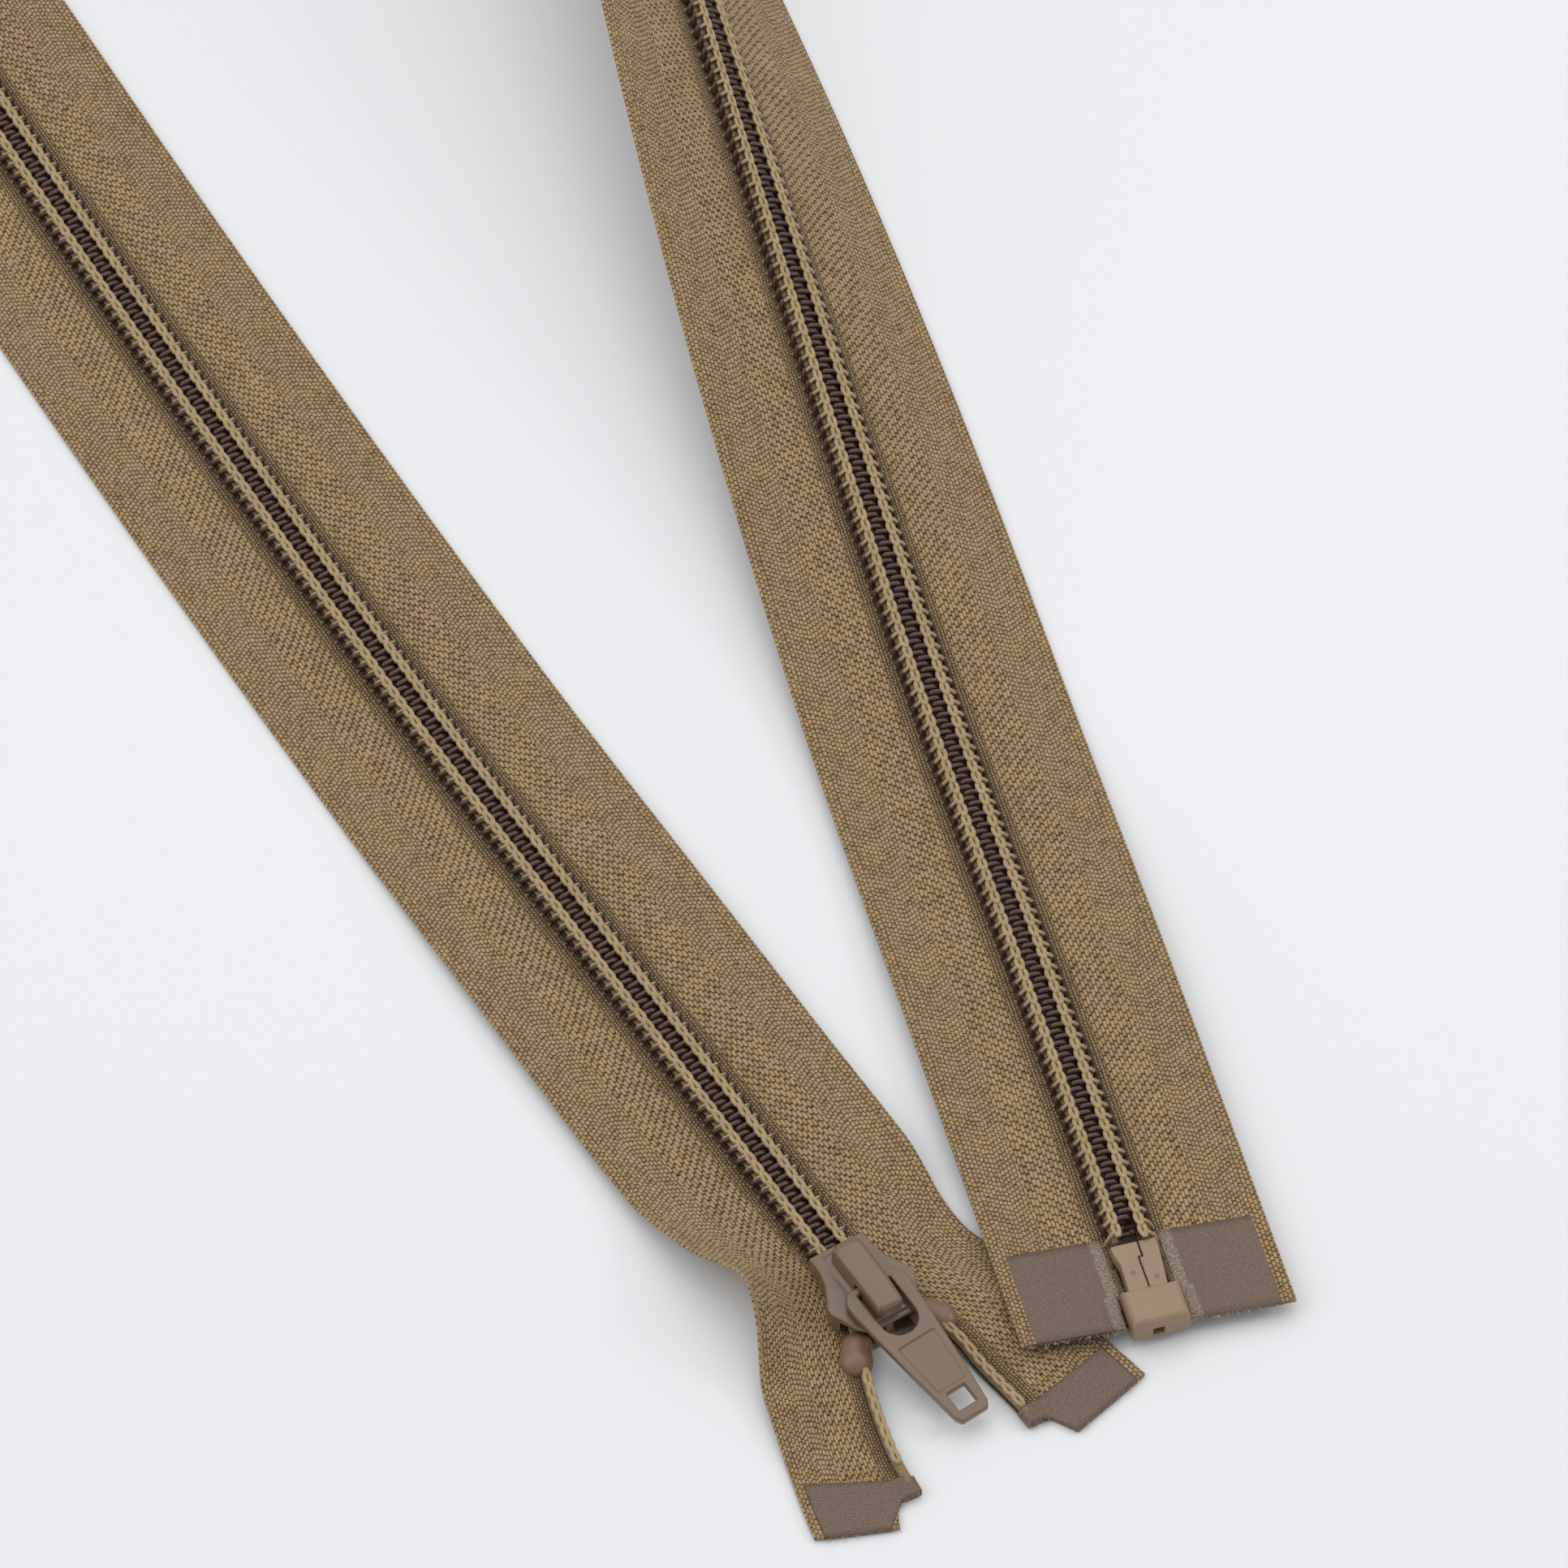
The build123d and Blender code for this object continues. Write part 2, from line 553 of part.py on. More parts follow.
# Each pin is its exposed head and the shank inside the box, seen from above.
BOX_PIN_HEAD = [(PIN_REAR, -2.6), (PIN_REAR, 0.45), (PIN_STEP, 0.45), (PIN_STEP, -GAP), (6.15, -GAP), (6.15, -2.5)]
BOX_PIN_HEAD = BOX_PIN_HEAD + [(2.6, -2.3), (1.2, -2.6)]
INSERT_HEAD = [(PIN_REAR, 0.55), (PIN_REAR, 2.6), (1.4, 2.6), (6.15, 2.1), (6.15, 0.04), (PIN_STEP + 0.1, 0.04)]
INSERT_HEAD = INSERT_HEAD + [(PIN_STEP + 0.1, 0.55)]
for name, head, shank in (
    ("box_pin", BOX_PIN_HEAD, (-2.4, -0.03)),
    ("insertion_pin", INSERT_HEAD, (0.05, 2.0)),
):
    with BuildPart() as pin:
        extrude(plate(BOX.offset(PIN_LOW), head), amount=PIN_HIGH - PIN_LOW)
        near, far = shank
        shank_outline = [(6.0, near), (PIN_TIP, near), (PIN_TIP, far), (6.0, far)]
        extrude(plate(BOX.offset(SOCKET_LOW + 0.1), shank_outline), amount=SOCKET_HIGH - SOCKET_LOW - 0.2)
    save(pin.part, name)


# ---- Reinforcing film at the bottom: welded to both faces of each tape, beside the pins ----
FILM_REAR = -1.8
FILM_INNER = 4.3
FILM_OUTER = 14.0
for name, side in SIDES.items():
    with BuildPart() as film:
        across = [-side * FILM_INNER, -side * FILM_OUTER]
        rear = [(FILM_REAR + END_SKEW * y, y) for y in across]
        front = [(END_CUT + END_SKEW * y, y) for y in reversed(across)]
        extrude(plate(BOX.offset(BOX_LIFT + TAPE_T), rear + front), amount=FILM_T)
        extrude(plate(BOX.offset(BOX_LIFT - FILM_T), rear + front), amount=FILM_T)
    save(film.part, f"{name}_bottom_film")
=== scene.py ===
"""Looks of a closed coil zipper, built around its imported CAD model.

Shapes are worked out in millimetres and become metres when a mesh is made.
A point of the chain is (s, u, h): s along it from the slider, u across from its centre line,
h out of its front face from the back of the tape. Side +1 is the left tape and -1 the right.
"""
import math
from functools import partial, partialmethod

import bpy
import numpy as np
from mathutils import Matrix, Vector


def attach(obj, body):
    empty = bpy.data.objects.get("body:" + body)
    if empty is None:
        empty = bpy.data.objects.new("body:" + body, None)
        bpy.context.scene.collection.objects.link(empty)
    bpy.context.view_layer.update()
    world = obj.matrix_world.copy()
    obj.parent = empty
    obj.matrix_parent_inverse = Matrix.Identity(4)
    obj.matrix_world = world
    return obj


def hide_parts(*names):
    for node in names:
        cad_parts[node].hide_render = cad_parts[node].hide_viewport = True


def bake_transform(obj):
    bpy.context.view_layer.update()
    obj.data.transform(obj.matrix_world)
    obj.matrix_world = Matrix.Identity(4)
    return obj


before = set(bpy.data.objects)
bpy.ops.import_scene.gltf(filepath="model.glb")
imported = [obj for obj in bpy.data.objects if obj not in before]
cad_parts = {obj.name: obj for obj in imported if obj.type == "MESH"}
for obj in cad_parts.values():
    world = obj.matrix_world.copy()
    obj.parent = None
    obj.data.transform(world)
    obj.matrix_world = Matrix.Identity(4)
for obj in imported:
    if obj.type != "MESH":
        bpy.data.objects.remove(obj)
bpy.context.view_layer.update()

MM = 0.001
SIDES = {"left": 1, "right": -1}

# ---- Section across the chain ----
TAPE_INNER = 0.7
TAPE_HALF = 15.5
TAPE_TOP = 0.6
TAPE_BACK = 0.08
COIL_TOP = 2.4
WIRE_R = 0.33
HEAD_SWELL = 0.14  # the wire is this much wider at the head of a turn
PITCH = 1.65
THREAD_R = 0.17
THREAD_WIDE = 0.27  # half the width of a thread pressed flat
STITCH_AT = 1.42  # middle of a row of stitching

# ---- Path of the chain: the same runs and turns as the CAD model's ----
SLIDER_AT = np.array([51.33, -141.52, 0.0])
SLIDER_HEADING = 147.85
BOX_AT = np.array([84.23, -140.82, 0.0])
BOX_HEADING = 164.3
# Each run: its length in mm and how far it turns in degrees
RUNS = [(40.0, 0.0), (150.0, 3.0), (88.116, 0.0), (175.232, 193.45), (289.269, 0.0)]
CHAIN_LENGTH = sum(length for length, _ in RUNS)
SLIDER_LIFT = 1.0
BOX_LIFT = 1.9
# Distances over which the chain rises on edge for the standing loop and lies down again,
# from the slider and from the box, and over which the slider and the box hold it up
TWIST_FROM_SLIDER = (205, 345)
TWIST_FROM_BOX = (45, 354)
LIFT_BY_SLIDER = (45, 90)
LIFT_BY_BOX = (34, 84)
BEND_AT = 26.0  # the tape tops turn about this place behind the slider
SPLIT_AT = 40.0  # pieces that bend end here, and pieces of the chain start
END_CUT = 10.3  # the tapes end this far past the box end of the chain
END_SKEW = math.tan(math.radians(4.0))


def direction(heading):
    """Unit vectors in plan for headings in degrees, clockwise from +Y."""
    angle = np.radians(heading)
    return np.stack([np.sin(angle), np.cos(angle), np.zeros_like(angle)], -1)


def smooth(value, start, end):
    t = np.clip((value - start) / (end - start), 0, 1)
    return t * t * (3 - 2 * t)


def plan_table(step=0.1):
    """Distances along the chain, the headings there and the places in plan."""
    ends = np.cumsum([0.0] + [length for length, _ in RUNS])
    turns = SLIDER_HEADING - 180 + np.cumsum([0.0] + [turn for _, turn in RUNS])
    s = np.arange(0, CHAIN_LENGTH + 30, step)
    heading = np.interp(s, ends, turns)
    along = direction(heading)
    moved = np.cumsum((along[1:] + along[:-1]) / 2 * step, axis=0)
    return s, heading, SLIDER_AT + np.vstack([np.zeros(3), moved])


PLAN_S, PLAN_HEADING, PLAN_AT = plan_table()
UP = np.array([0.0, 0.0, 1.0])


def chain_axes(s):
    """Middle of the tape's back, and the across, out-of-face and along directions."""
    s = np.atleast_1d(np.asarray(s, float))
    heading = np.interp(s, PLAN_S, PLAN_HEADING)
    at = np.stack([np.interp(s, PLAN_S, PLAN_AT[:, i]) for i in range(3)], -1)
    before = np.minimum(s, 0)
    at = at + direction(heading) * before[:, None]
    from_box = CHAIN_LENGTH - s
    risen = np.minimum(smooth(s, *TWIST_FROM_SLIDER), smooth(from_box, *TWIST_FROM_BOX))
    tilt = np.radians(90 * risen)
    lift = SLIDER_LIFT * (1 - smooth(s, *LIFT_BY_SLIDER)) + BOX_LIFT * (1 - smooth(from_box, *LIFT_BY_BOX))
    at[:, 2] = lift + TAPE_HALF * np.sin(tilt)
    right = direction(heading + 90)
    cos, sin = np.cos(tilt)[:, None], np.sin(tilt)[:, None]
    return at, right * cos + UP * sin, UP * cos - right * sin, direction(heading)


def on_chain(s, u, h):
    """Points of the chain in the model's frame."""
    at, across, out, _ = chain_axes(s)
    u, h = (np.broadcast_to(np.asarray(a, float), len(at))[:, None] for a in (u, h))
    return at + across * u + out * h


slider_x = direction(np.float64(SLIDER_HEADING))
slider_y = direction(np.float64(SLIDER_HEADING - 90))
box_x = direction(np.float64(BOX_HEADING))
box_y = np.cross(UP, box_x)


def in_frame(origin, x_axis, y_axis, points, z_axis=UP):
    """Points of a local frame with those axes, in the model's frame."""
    points = np.asarray(points, float)
    return origin + points[:, :1] * x_axis + points[:, 1:2] * y_axis + points[:, 2:3] * z_axis


def at_slider(points):
    return in_frame(SLIDER_AT, slider_x, slider_y, points)


def at_box(points):
    return in_frame(BOX_AT, box_x, box_y, points)


# ---- Tape tops, in the slider's frame: X forwards from its rear end, u outwards from the centre ----
# x, inner edge, outer edge, height of the back, rise of the outer edge
TOPS = {
    "left": [
        (-26, 0.7, 15.5, 1.0, 0.0),
        (-15, 0.7, 15.4, 1.0, 0.6),
        (-8, 0.7, 15.2, 1.0, 1.2),
        (-1, 0.7, 14.7, 1.0, -0.7),
        (4, 0.7, 14.8, 1.0, -0.8),
        (10.5, 3.07, 17.2, 1.0, -0.6),
        (16, 5.2, 18.3, 0.9, -0.5),
        (20, 5.4, 19.1, 0.1, 0.0),
        (27, 6.3, 20.4, 0.1, 0.0),
        (36, 6.8, 22.0, 0.1, 0.0),
    ],
    "right": [
        (-26, 0.7, 15.5, 1.0, 0.0),
        (-17, 0.7, 15.4, 1.0, 0.5),
        (-7.5, 0.7, 14.4, 1.0, 3.5),
        (0, 0.7, 12.0, 1.0, 6.8),
        (4, 0.7, 12.9, 1.0, 5.0),
        (7, 1.79, 14.4, 1.0, 2.2),
        (10.5, 3.07, 16.4, 1.0, 0.4),
        (16, 5.2, 17.9, 0.9, 0.0),
        (20, 6.4, 19.0, 0.1, 0.0),
        (25.5, 7.8, 20.5, 0.1, 0.0),
        (36, 9.0, 22.9, 0.1, 0.0),
    ],
}
FOLD_AT = 5.4  # the tape is held flat from its inner edge to here, by the slider
# Cut end of each tail: u and x, from the inner edge outwards, with the notch beside the bead
TAIL_ENDS = {
    "left": [(0, 29.6), (8.5, 29.7), (9.6, 30.2), (10.45, 31.0), (10.5, 32.9), (24, 29.9)],
    "right": [(0, 30.8), (8.3, 30.8), (11.8, 30.4), (12.3, 33.0), (12.4, 33.4), (24, 28.7)],
}
SOFTEN = 2.5  # half width, in mm, of the stretch that a table's corners are rounded over


def top_row(name, x, column):
    """One column of a tape top's table at x, with its corners rounded."""
    table = np.array(TOPS[name], float)
    offsets = np.linspace(-SOFTEN, SOFTEN, 11)
    weights = 1 - (offsets / (SOFTEN * 1.1)) ** 2
    x = np.asarray(x, float)
    values = [w * np.interp(x + o, table[:, 0], table[:, column]) for o, w in zip(offsets, weights)]
    return sum(values) / weights.sum()


def on_top(name, x, u, h):
    """Points of a strand that follows a tape top's inner edge."""
    x, u, h = (np.asarray(a, float) for a in (x, u, h))
    y = SIDES[name] * (u + (top_row(name, x, 1) - TAPE_INNER))
    return at_slider(np.stack([x, y, top_row(name, x, 3) + h], -1))


def cloth_on_top(name, x, share, h):
    """Points of a tape top's cloth, at a share of its width from the inner edge."""
    inner, outer = top_row(name, x, 1), top_row(name, x, 2)
    u = inner + (outer - inner) * share
    fold = np.maximum(FOLD_AT, inner * 2.4)
    free = np.clip((u - fold) / np.maximum(outer - fold, 0.1), 0, 1)
    z = top_row(name, x, 3) + h + top_row(name, x, 4) * free**1.5
    return at_slider(np.stack([x, SIDES[name] * u, z], -1))


# ---- Mesh making ----
def linked(name, data):
    """An object of that data, in the scene."""
    made = bpy.data.objects.new(name, data)
    bpy.context.scene.collection.objects.link(made)
    return made


def make_piece(name, points_mm, faces, material, uv=None):
    """A mesh object from points in millimetres and faces, with a pair of numbers for each point if given."""
    mesh = bpy.data.meshes.new(name)
    mesh.from_pydata((np.asarray(points_mm) * MM).tolist(), [], faces)
    if uv is not None:
        layer = mesh.uv_layers.new(name="strip")
        corners = np.zeros(len(mesh.loops), np.int32)
        mesh.loops.foreach_get("vertex_index", corners)
        layer.data.foreach_set("uv", np.asarray(uv, np.float32)[corners].ravel())
    mesh.shade_smooth()
    mesh.materials.append(material)
    return linked(name, mesh)


def grid_faces(rows, columns, wrap=False):
    """Quads of a grid of points, closed round its columns if asked."""
    r = np.arange(rows - 1)[:, None] * columns
    c = np.arange(columns if wrap else columns - 1)[None, :]
    following = (c + 1) % columns
    return np.stack([r + c, r + following, r + columns + following, r + columns + c], -1).reshape(-1, 4)


def tube(points, reference, wide, thick, sides=8):
    """Points and faces of a closed tube. wide is its half width along reference, thick is across that."""
    tangent = np.gradient(points, axis=0)
    tangent /= np.linalg.norm(tangent, axis=1, keepdims=True)
    first = reference - tangent * (reference * tangent).sum(1, keepdims=True)
    first /= np.linalg.norm(first, axis=1, keepdims=True)
    second = np.cross(tangent, first)
    angle = np.linspace(0, 2 * math.pi, sides, endpoint=False)
    wide, thick = (np.broadcast_to(half, len(points))[:, None, None] for half in (wide, thick))
    ring = first[:, None] * np.cos(angle)[None, :, None] * wide
    ring = ring + second[:, None] * np.sin(angle)[None, :, None] * thick
    rings = (points[:, None] + ring).reshape(-1, 3)
    faces = grid_faces(len(points), sides, wrap=True).tolist()
    faces.append(list(range(sides))[::-1])
    faces.append([(len(points) - 1) * sides + n for n in range(sides)])
    return rings, faces


def gathered(name, parts, material):
    """One piece from many parts, each given as points and faces."""
    faces, count = [], 0
    for points, part_faces in parts:
        faces += [[v + count for v in face] for face in part_faces]
        count += len(points)
    return make_piece(name, np.vstack([points for points, _ in parts]), faces, material)


# ---- Materials ----
class Number:
    """A number in a material's node tree. Arithmetic with it adds math nodes."""

    def __init__(self, look, socket):
        self.look, self.socket = look, socket

    def math(self, operation, *others):
        return self.look.math(operation, self, *others)

    def __rsub__(self, other):
        return self.look.math("SUBTRACT", other, self)

    __add__ = partialmethod(math, "ADD")
    __sub__ = partialmethod(math, "SUBTRACT")
    __mul__ = partialmethod(math, "MULTIPLY")
    __truediv__ = partialmethod(math, "DIVIDE")


class Look:
    """A node material with a Principled shader, patterned over the object or over a strip of cloth."""

    def __init__(self, name, roughness, strip=False, **inputs):
        self.material = bpy.data.materials.new(name)
        self.material.use_nodes = True
        self.tree = self.material.node_tree
        self.shader = self.tree.nodes["Principled BSDF"]
        self.put("Roughness", roughness)
        for key, value in inputs.items():
            self.put(key.replace("_", " "), value)
        if strip:
            # Across and along the tape, in millimetres
            self.vector = self.node("ShaderNodeUVMap", {"uv_map": "strip"})
            split = self.tree.nodes.new("ShaderNodeSeparateXYZ")
            self.link(split.inputs[0], self.vector)
            self.across, self.along = (Number(self, split.outputs[axis]) for axis in (0, 1))
        else:
            self.vector = self.tree.nodes.new("ShaderNodeTexCoord").outputs["Object"]

    def link(self, socket, value):
        """Feeds a socket from a constant, another node's socket or a Number."""
        if isinstance(value, Number):
            value = value.socket
        if isinstance(value, bpy.types.NodeSocket):
            self.tree.links.new(value, socket)
        else:
            socket.default_value = value

    def put(self, name, value):
        self.link(self.shader.inputs[name], value)

    def math(self, operation, *values):
        node = self.tree.nodes.new("ShaderNodeMath")
        node.operation = operation
        for socket, value in zip(node.inputs, values):
            self.link(socket, value)
        return Number(self, node.outputs[0])

    def node(self, kind, settings=None, **inputs):
        """The first output of a new node."""
        node = self.tree.nodes.new(kind)
        for key, value in (settings or {}).items():
            setattr(node, key, value)
        for key, value in inputs.items():
            self.link(node.inputs[key], value)
        return Number(self, node.outputs[0])

    def noise(self, scale, detail=2.0):
        return self.node("ShaderNodeTexNoise", Vector=self.vector, Scale=scale, Detail=detail)

    def ramp(self, value, *stops):
        """A colour ramp of (place, colour) stops."""
        node = self.tree.nodes.new("ShaderNodeValToRGB")
        elements = node.color_ramp.elements
        while len(elements) < len(stops):
            elements.new(0.5)
        for element, (place, colour) in zip(elements, stops):
            element.position = place
            element.color = (*colour, 1.0)
        self.link(node.inputs[0], value)
        return node.outputs[0]

    def times(self, colour, tint):
        return self.mix(1.0, colour, tint, "MULTIPLY")

    def mix(self, factor, a, b, blend="MIX"):
        node = self.tree.nodes.new("ShaderNodeMix")
        node.data_type = "RGBA"
        node.blend_type = blend
        for socket, value in zip((node.inputs[0], node.inputs[6], node.inputs[7]), (factor, a, b)):
            if isinstance(value, tuple):
                value = (*value, 1.0)
            self.link(socket, value)
        return node.outputs[2]

    def bump(self, height, distance, strength):
        bumped = self.node("ShaderNodeBump", Strength=strength, Distance=distance, Height=height)
        self.put("Normal", bumped)


def between(a, b, factor):
    """a where factor is 0 and b where it is 1."""
    return a + factor * (b - a)


def srgb(red, green, blue):
    """Linear colour from an eight-bit one."""
    values = (c / 255 for c in (red, green, blue))
    return tuple(c / 12.92 if c <= 0.04045 else ((c + 0.055) / 1.055) ** 2.4 for c in values)


def darker(colour, share):
    return tuple(c * share for c in colour)


WHITE = (1.0, 1.0, 1.0)
YARN = srgb(186, 156, 113)
YARN_MIDDLE = srgb(146, 118, 81)
YARN_SHADE = srgb(48, 33, 20)
THREAD = srgb(188, 160, 115)
CORD = srgb(150, 124, 86)
FIBRE = srgb(205, 188, 160)
SELVAGE = srgb(166, 138, 97)
NYLON = srgb(60, 36, 28)
NYLON_LIT = srgb(80, 50, 38)
PAINT = srgb(113, 88, 64)
MOULDED = srgb(152, 127, 101)
STOP = srgb(128, 99, 77)
FILM_LIGHT = srgb(126, 105, 90)
FILM_DARK = srgb(92, 74, 63)
GLUE = srgb(172, 155, 138)

# Each zone of the weave: spacing of its warp yarns and length of a float, in mm
TWILL_ZONE = (0.43, 0.66)
COIL_ZONE = (0.40, 0.46)
SELVAGE_ZONE = (0.46, 0.68)
COIL_ZONE_END = 4.1
DIAGONAL_END = 9.3
DIAGONAL_FLOAT = 1.15  # length of a float between these two lines
DIAGONAL_STEP = 0.38  # each yarn's floats there start this share of a float after the last one's
SELVAGE_FROM = 14.2
BAND = 3.2  # width of a band of one slant
SLANT = 0.92  # how steeply the rows of floats slant
CORNER = 0.97  # below 1, this rounds the corners between bands
YARN_STRAY = 0.3  # how far the yarns wander across, in mm
FLOAT_STRAY = 0.6  # and the floats along
SLACK = 0.2  # share of a float by which yarns are out of step
PRESSED = 0.36  # height of the gap between yarns away from the coil
SHORTEST = 0.62  # height of the lowest float, and how much more the highest has
UNEVEN = 0.5
WEAVE_DEPTH = 0.00018


def flat_lump(share, power):
    """A flat-topped profile over one unit of share: 0 at both ends and 1 in the middle."""
    off = (share * 2.0 - 1.0).math("ABSOLUTE")
    return 1.0 - off.math("POWER", power)


def woven_look():
    """Floats in slanting rows: plain weave at both edges, a diagonal band, then a zigzag."""
    look = Look("woven_tape", 0.74, True, Sheen_Weight=0.2, Sheen_Roughness=0.4, Specular_IOR_Level=0.25)
    across, along = look.across, look.along
    u = across + (look.noise(0.9) - 0.5) * YARN_STRAY
    s = along + (look.noise(1.3) - 0.5) * FLOAT_STRAY
    near_coil = across.math("LESS_THAN", COIL_ZONE_END)
    selvage = across.math("GREATER_THAN", SELVAGE_FROM)
    past_coil = 1.0 - near_coil
    diagonal = past_coil * across.math("LESS_THAN", DIAGONAL_END)

    def by_zone(index):
        twill, coil_side, edge = TWILL_ZONE[index], COIL_ZONE[index], SELVAGE_ZONE[index]
        return near_coil * (coil_side - twill) + selvage * (edge - twill) + twill

    spacing = by_zone(0)
    length = by_zone(1) + diagonal * (DIAGONAL_FLOAT - TWILL_ZONE[1])
    yarns = u / spacing
    number = yarns.math("FLOOR")
    swing = (number * spacing * (math.pi / BAND)).math("SINE")
    slant = (swing * CORNER).math("ARCSINE") * SLANT
    slant = between(slant, number * DIAGONAL_STEP, diagonal)
    shift = between(slant, number * 0.5, near_coil.math("MAXIMUM", selvage))
    slack = look.node("ShaderNodeTexWhiteNoise", {"noise_dimensions": "1D"}, W=number)
    floats = s / length + slack * SLACK + shift
    cell = look.node("ShaderNodeCombineXYZ", X=number, Y=floats.math("FLOOR"), Z=0.0)
    chance = look.node("ShaderNodeTexWhiteNoise", Vector=cell)
    # Away from the coil the yarns lie tight side by side, so the gap between them is shallow
    gap = past_coil * PRESSED
    across_lump = gap + flat_lump(yarns.math("FRACT"), 3.0) * (1.0 - gap)
    along_lump = flat_lump(floats.math("FRACT"), 3.6)
    height = across_lump * along_lump * (chance * UNEVEN + SHORTEST)
    # Painted shade: the ramp darkens the low gaps between floats, where shade falls between the yarns; the
    # floats' random heights also vary their tone at random
    tone = look.ramp(height, (0.14, YARN_SHADE), (0.46, YARN_MIDDLE), (0.78, YARN))
    blotch = look.ramp(look.noise(0.3, 3.0), (0.3, (0.87, 0.86, 0.84)), (0.7, WHITE))
    fibre = look.ramp(look.noise(3.2, 3.0), (0.3, (0.78, 0.77, 0.75)), (0.68, WHITE))
    colour = look.times(look.times(tone, blotch), fibre)
    # Painted shade: the cloth is darkened beside the coil, where it dips and the coil shades it
    shade = look.ramp(across * 0.1, (0.24, (0.55, 0.5, 0.46)), (0.46, WHITE))
    look.put("Base Color", look.times(colour, shade))
    look.bump(height, WEAVE_DEPTH, 0.9)
    return look.material


def hard_look(name, roughness, patches, tones, grain, gloss, bumps=None, **inputs):
    """Patches of two tones, under a fine grain that varies the roughness and dents the surface.

    patches and grain are noises: scale and detail. gloss is how much the roughness varies and its
    least, and bumps are the distance and strength of the dents.
    """
    look = Look(name, roughness, **inputs)
    look.put("Base Color", look.ramp(look.noise(*patches), *tones))
    fine = look.noise(*grain)
    look.put("Roughness", fine * gloss[0] + gloss[1])
    if bumps:
        look.bump(fine, *bumps)
    return look.material


def thread_look(name, colour):
    """Spun thread: fine fibres, a little darker here and there."""
    look = Look(name, 0.55, Sheen_Weight=0.3, Specular_IOR_Level=0.35)
    fibre = look.noise(6500.0, 3.0)
    tone = look.ramp(fibre, (0.32, darker(colour, 0.62)), (0.62, colour))
    soft = look.ramp(look.noise(420.0), (0.3, (0.82, 0.82, 0.8)), (0.7, WHITE))
    look.put("Base Color", look.times(tone, soft))
    look.bump(fibre, 0.00006, 0.7)
    return look.material


def moulded_look(name, colour):
    """Injection-moulded plastic with a faint grain."""
    tones = ((0.3, darker(colour, 0.9)), (0.7, colour))
    return hard_look(
        name, 0.34, (330.0, 3.0), tones, (2600.0, 2.0), (0.2, 0.24), (0.00003, 0.4),
        Specular_IOR_Level=0.5, Subsurface_Weight=0.1, Subsurface_Radius=(0.0009, 0.0006, 0.0004),
    )


FILM_RIB = 0.42
GLUE_TO = 5.2  # the glued margin beside the pins ends here


def film_look():
    """Fine taffeta welded to the tape, woven on the slant, mottled where glue has come through."""
    look = Look("end_film", 0.5, True, Specular_IOR_Level=0.35)
    across, along = look.across, look.along
    waves = []
    for slope in (1.0, -0.8):
        ribs = across * slope + along + look.noise(1.5) * 0.5
        waves.append((ribs * (2 * math.pi / FILM_RIB)).math("SINE") * 0.5 + 0.5)
    check = (waves[0] + waves[1]) * 0.5
    speck = look.noise(2.6, 3.0)
    height = check * 0.45 + speck * 0.55
    tone = look.ramp(height, (0.28, FILM_DARK), (0.74, FILM_LIGHT))
    margin = (across + speck * 1.2).math("LESS_THAN", GLUE_TO)
    spots = look.ramp(look.noise(3.4, 3.0), (0.4, (0.1, 0.1, 0.1)), (0.66, (0.7, 0.7, 0.7)))
    look.put("Base Color", look.mix(margin.math("MULTIPLY", spots), tone, GLUE))
    look.bump(height, 0.00005, 0.6)
    return look.material


tape_material = woven_look()
# Smooth dark monofilament, slightly streaked
nylon_material = hard_look(
    "coil_nylon", 0.24, (900.0, 2.0), ((0.3, NYLON), (0.75, NYLON_LIT)), (5200.0, 2.0), (0.16, 0.18),
    Specular_IOR_Level=0.6, Subsurface_Weight=0.06, Subsurface_Radius=(0.0006, 0.0002, 0.0001),
)
stitch_material = thread_look("stitch_thread", THREAD)
cord_material = thread_look("filler_thread", CORD)
fibre_material = thread_look("loose_fibre", FIBRE)
selvage_material = thread_look("selvage_yarn", SELVAGE)
# Baked paint over a casting, with fine orange peel
paint_material = hard_look(
    "slider_paint", 0.3, (260.0, 2.0), ((0.3, darker(PAINT, 0.92)), (0.7, PAINT)),
    (1500.0, 3.0), (0.24, 0.2), (0.00009, 0.6),
    Specular_IOR_Level=0.6, Coat_Weight=0.35, Coat_Roughness=0.12,
)
moulded_material = moulded_look("box_moulding", MOULDED)
stop_material = moulded_look("stop_moulding", STOP)
film_material = film_look()
# Spring steel, streaked by rolling
steel_material = hard_look(
    "spring_steel", 0.3, (1800.0, 3.0), ((0.3, (0.42, 0.41, 0.39)), (0.7, (0.6, 0.59, 0.57))),
    (1800.0, 3.0), (0.25, 0.22), Metallic=1.0,
)


# ---- Tapes ----
# Columns of points across a tape, as shares of its width
SHARES = np.array([
    0.0, 0.01, 0.05, 0.1, 0.16, 0.22, 0.3, 0.38, 0.46,
    0.54, 0.62, 0.7, 0.78, 0.85, 0.91, 0.96, 0.99, 1.0,
])


def edge_profile(shares):
    """Heights of the top and back of the cloth: thin rounded edges and a slightly thicker selvage."""
    edge = np.minimum(shares, 1 - shares) * (TAPE_HALF - TAPE_INNER)
    rounding = np.clip(edge / 0.15, 0, 1) ** 0.5
    middle = (TAPE_TOP + TAPE_BACK) / 2
    half = (TAPE_TOP - TAPE_BACK) / 2 * (0.35 + 0.65 * rounding)
    return middle + half, middle - half


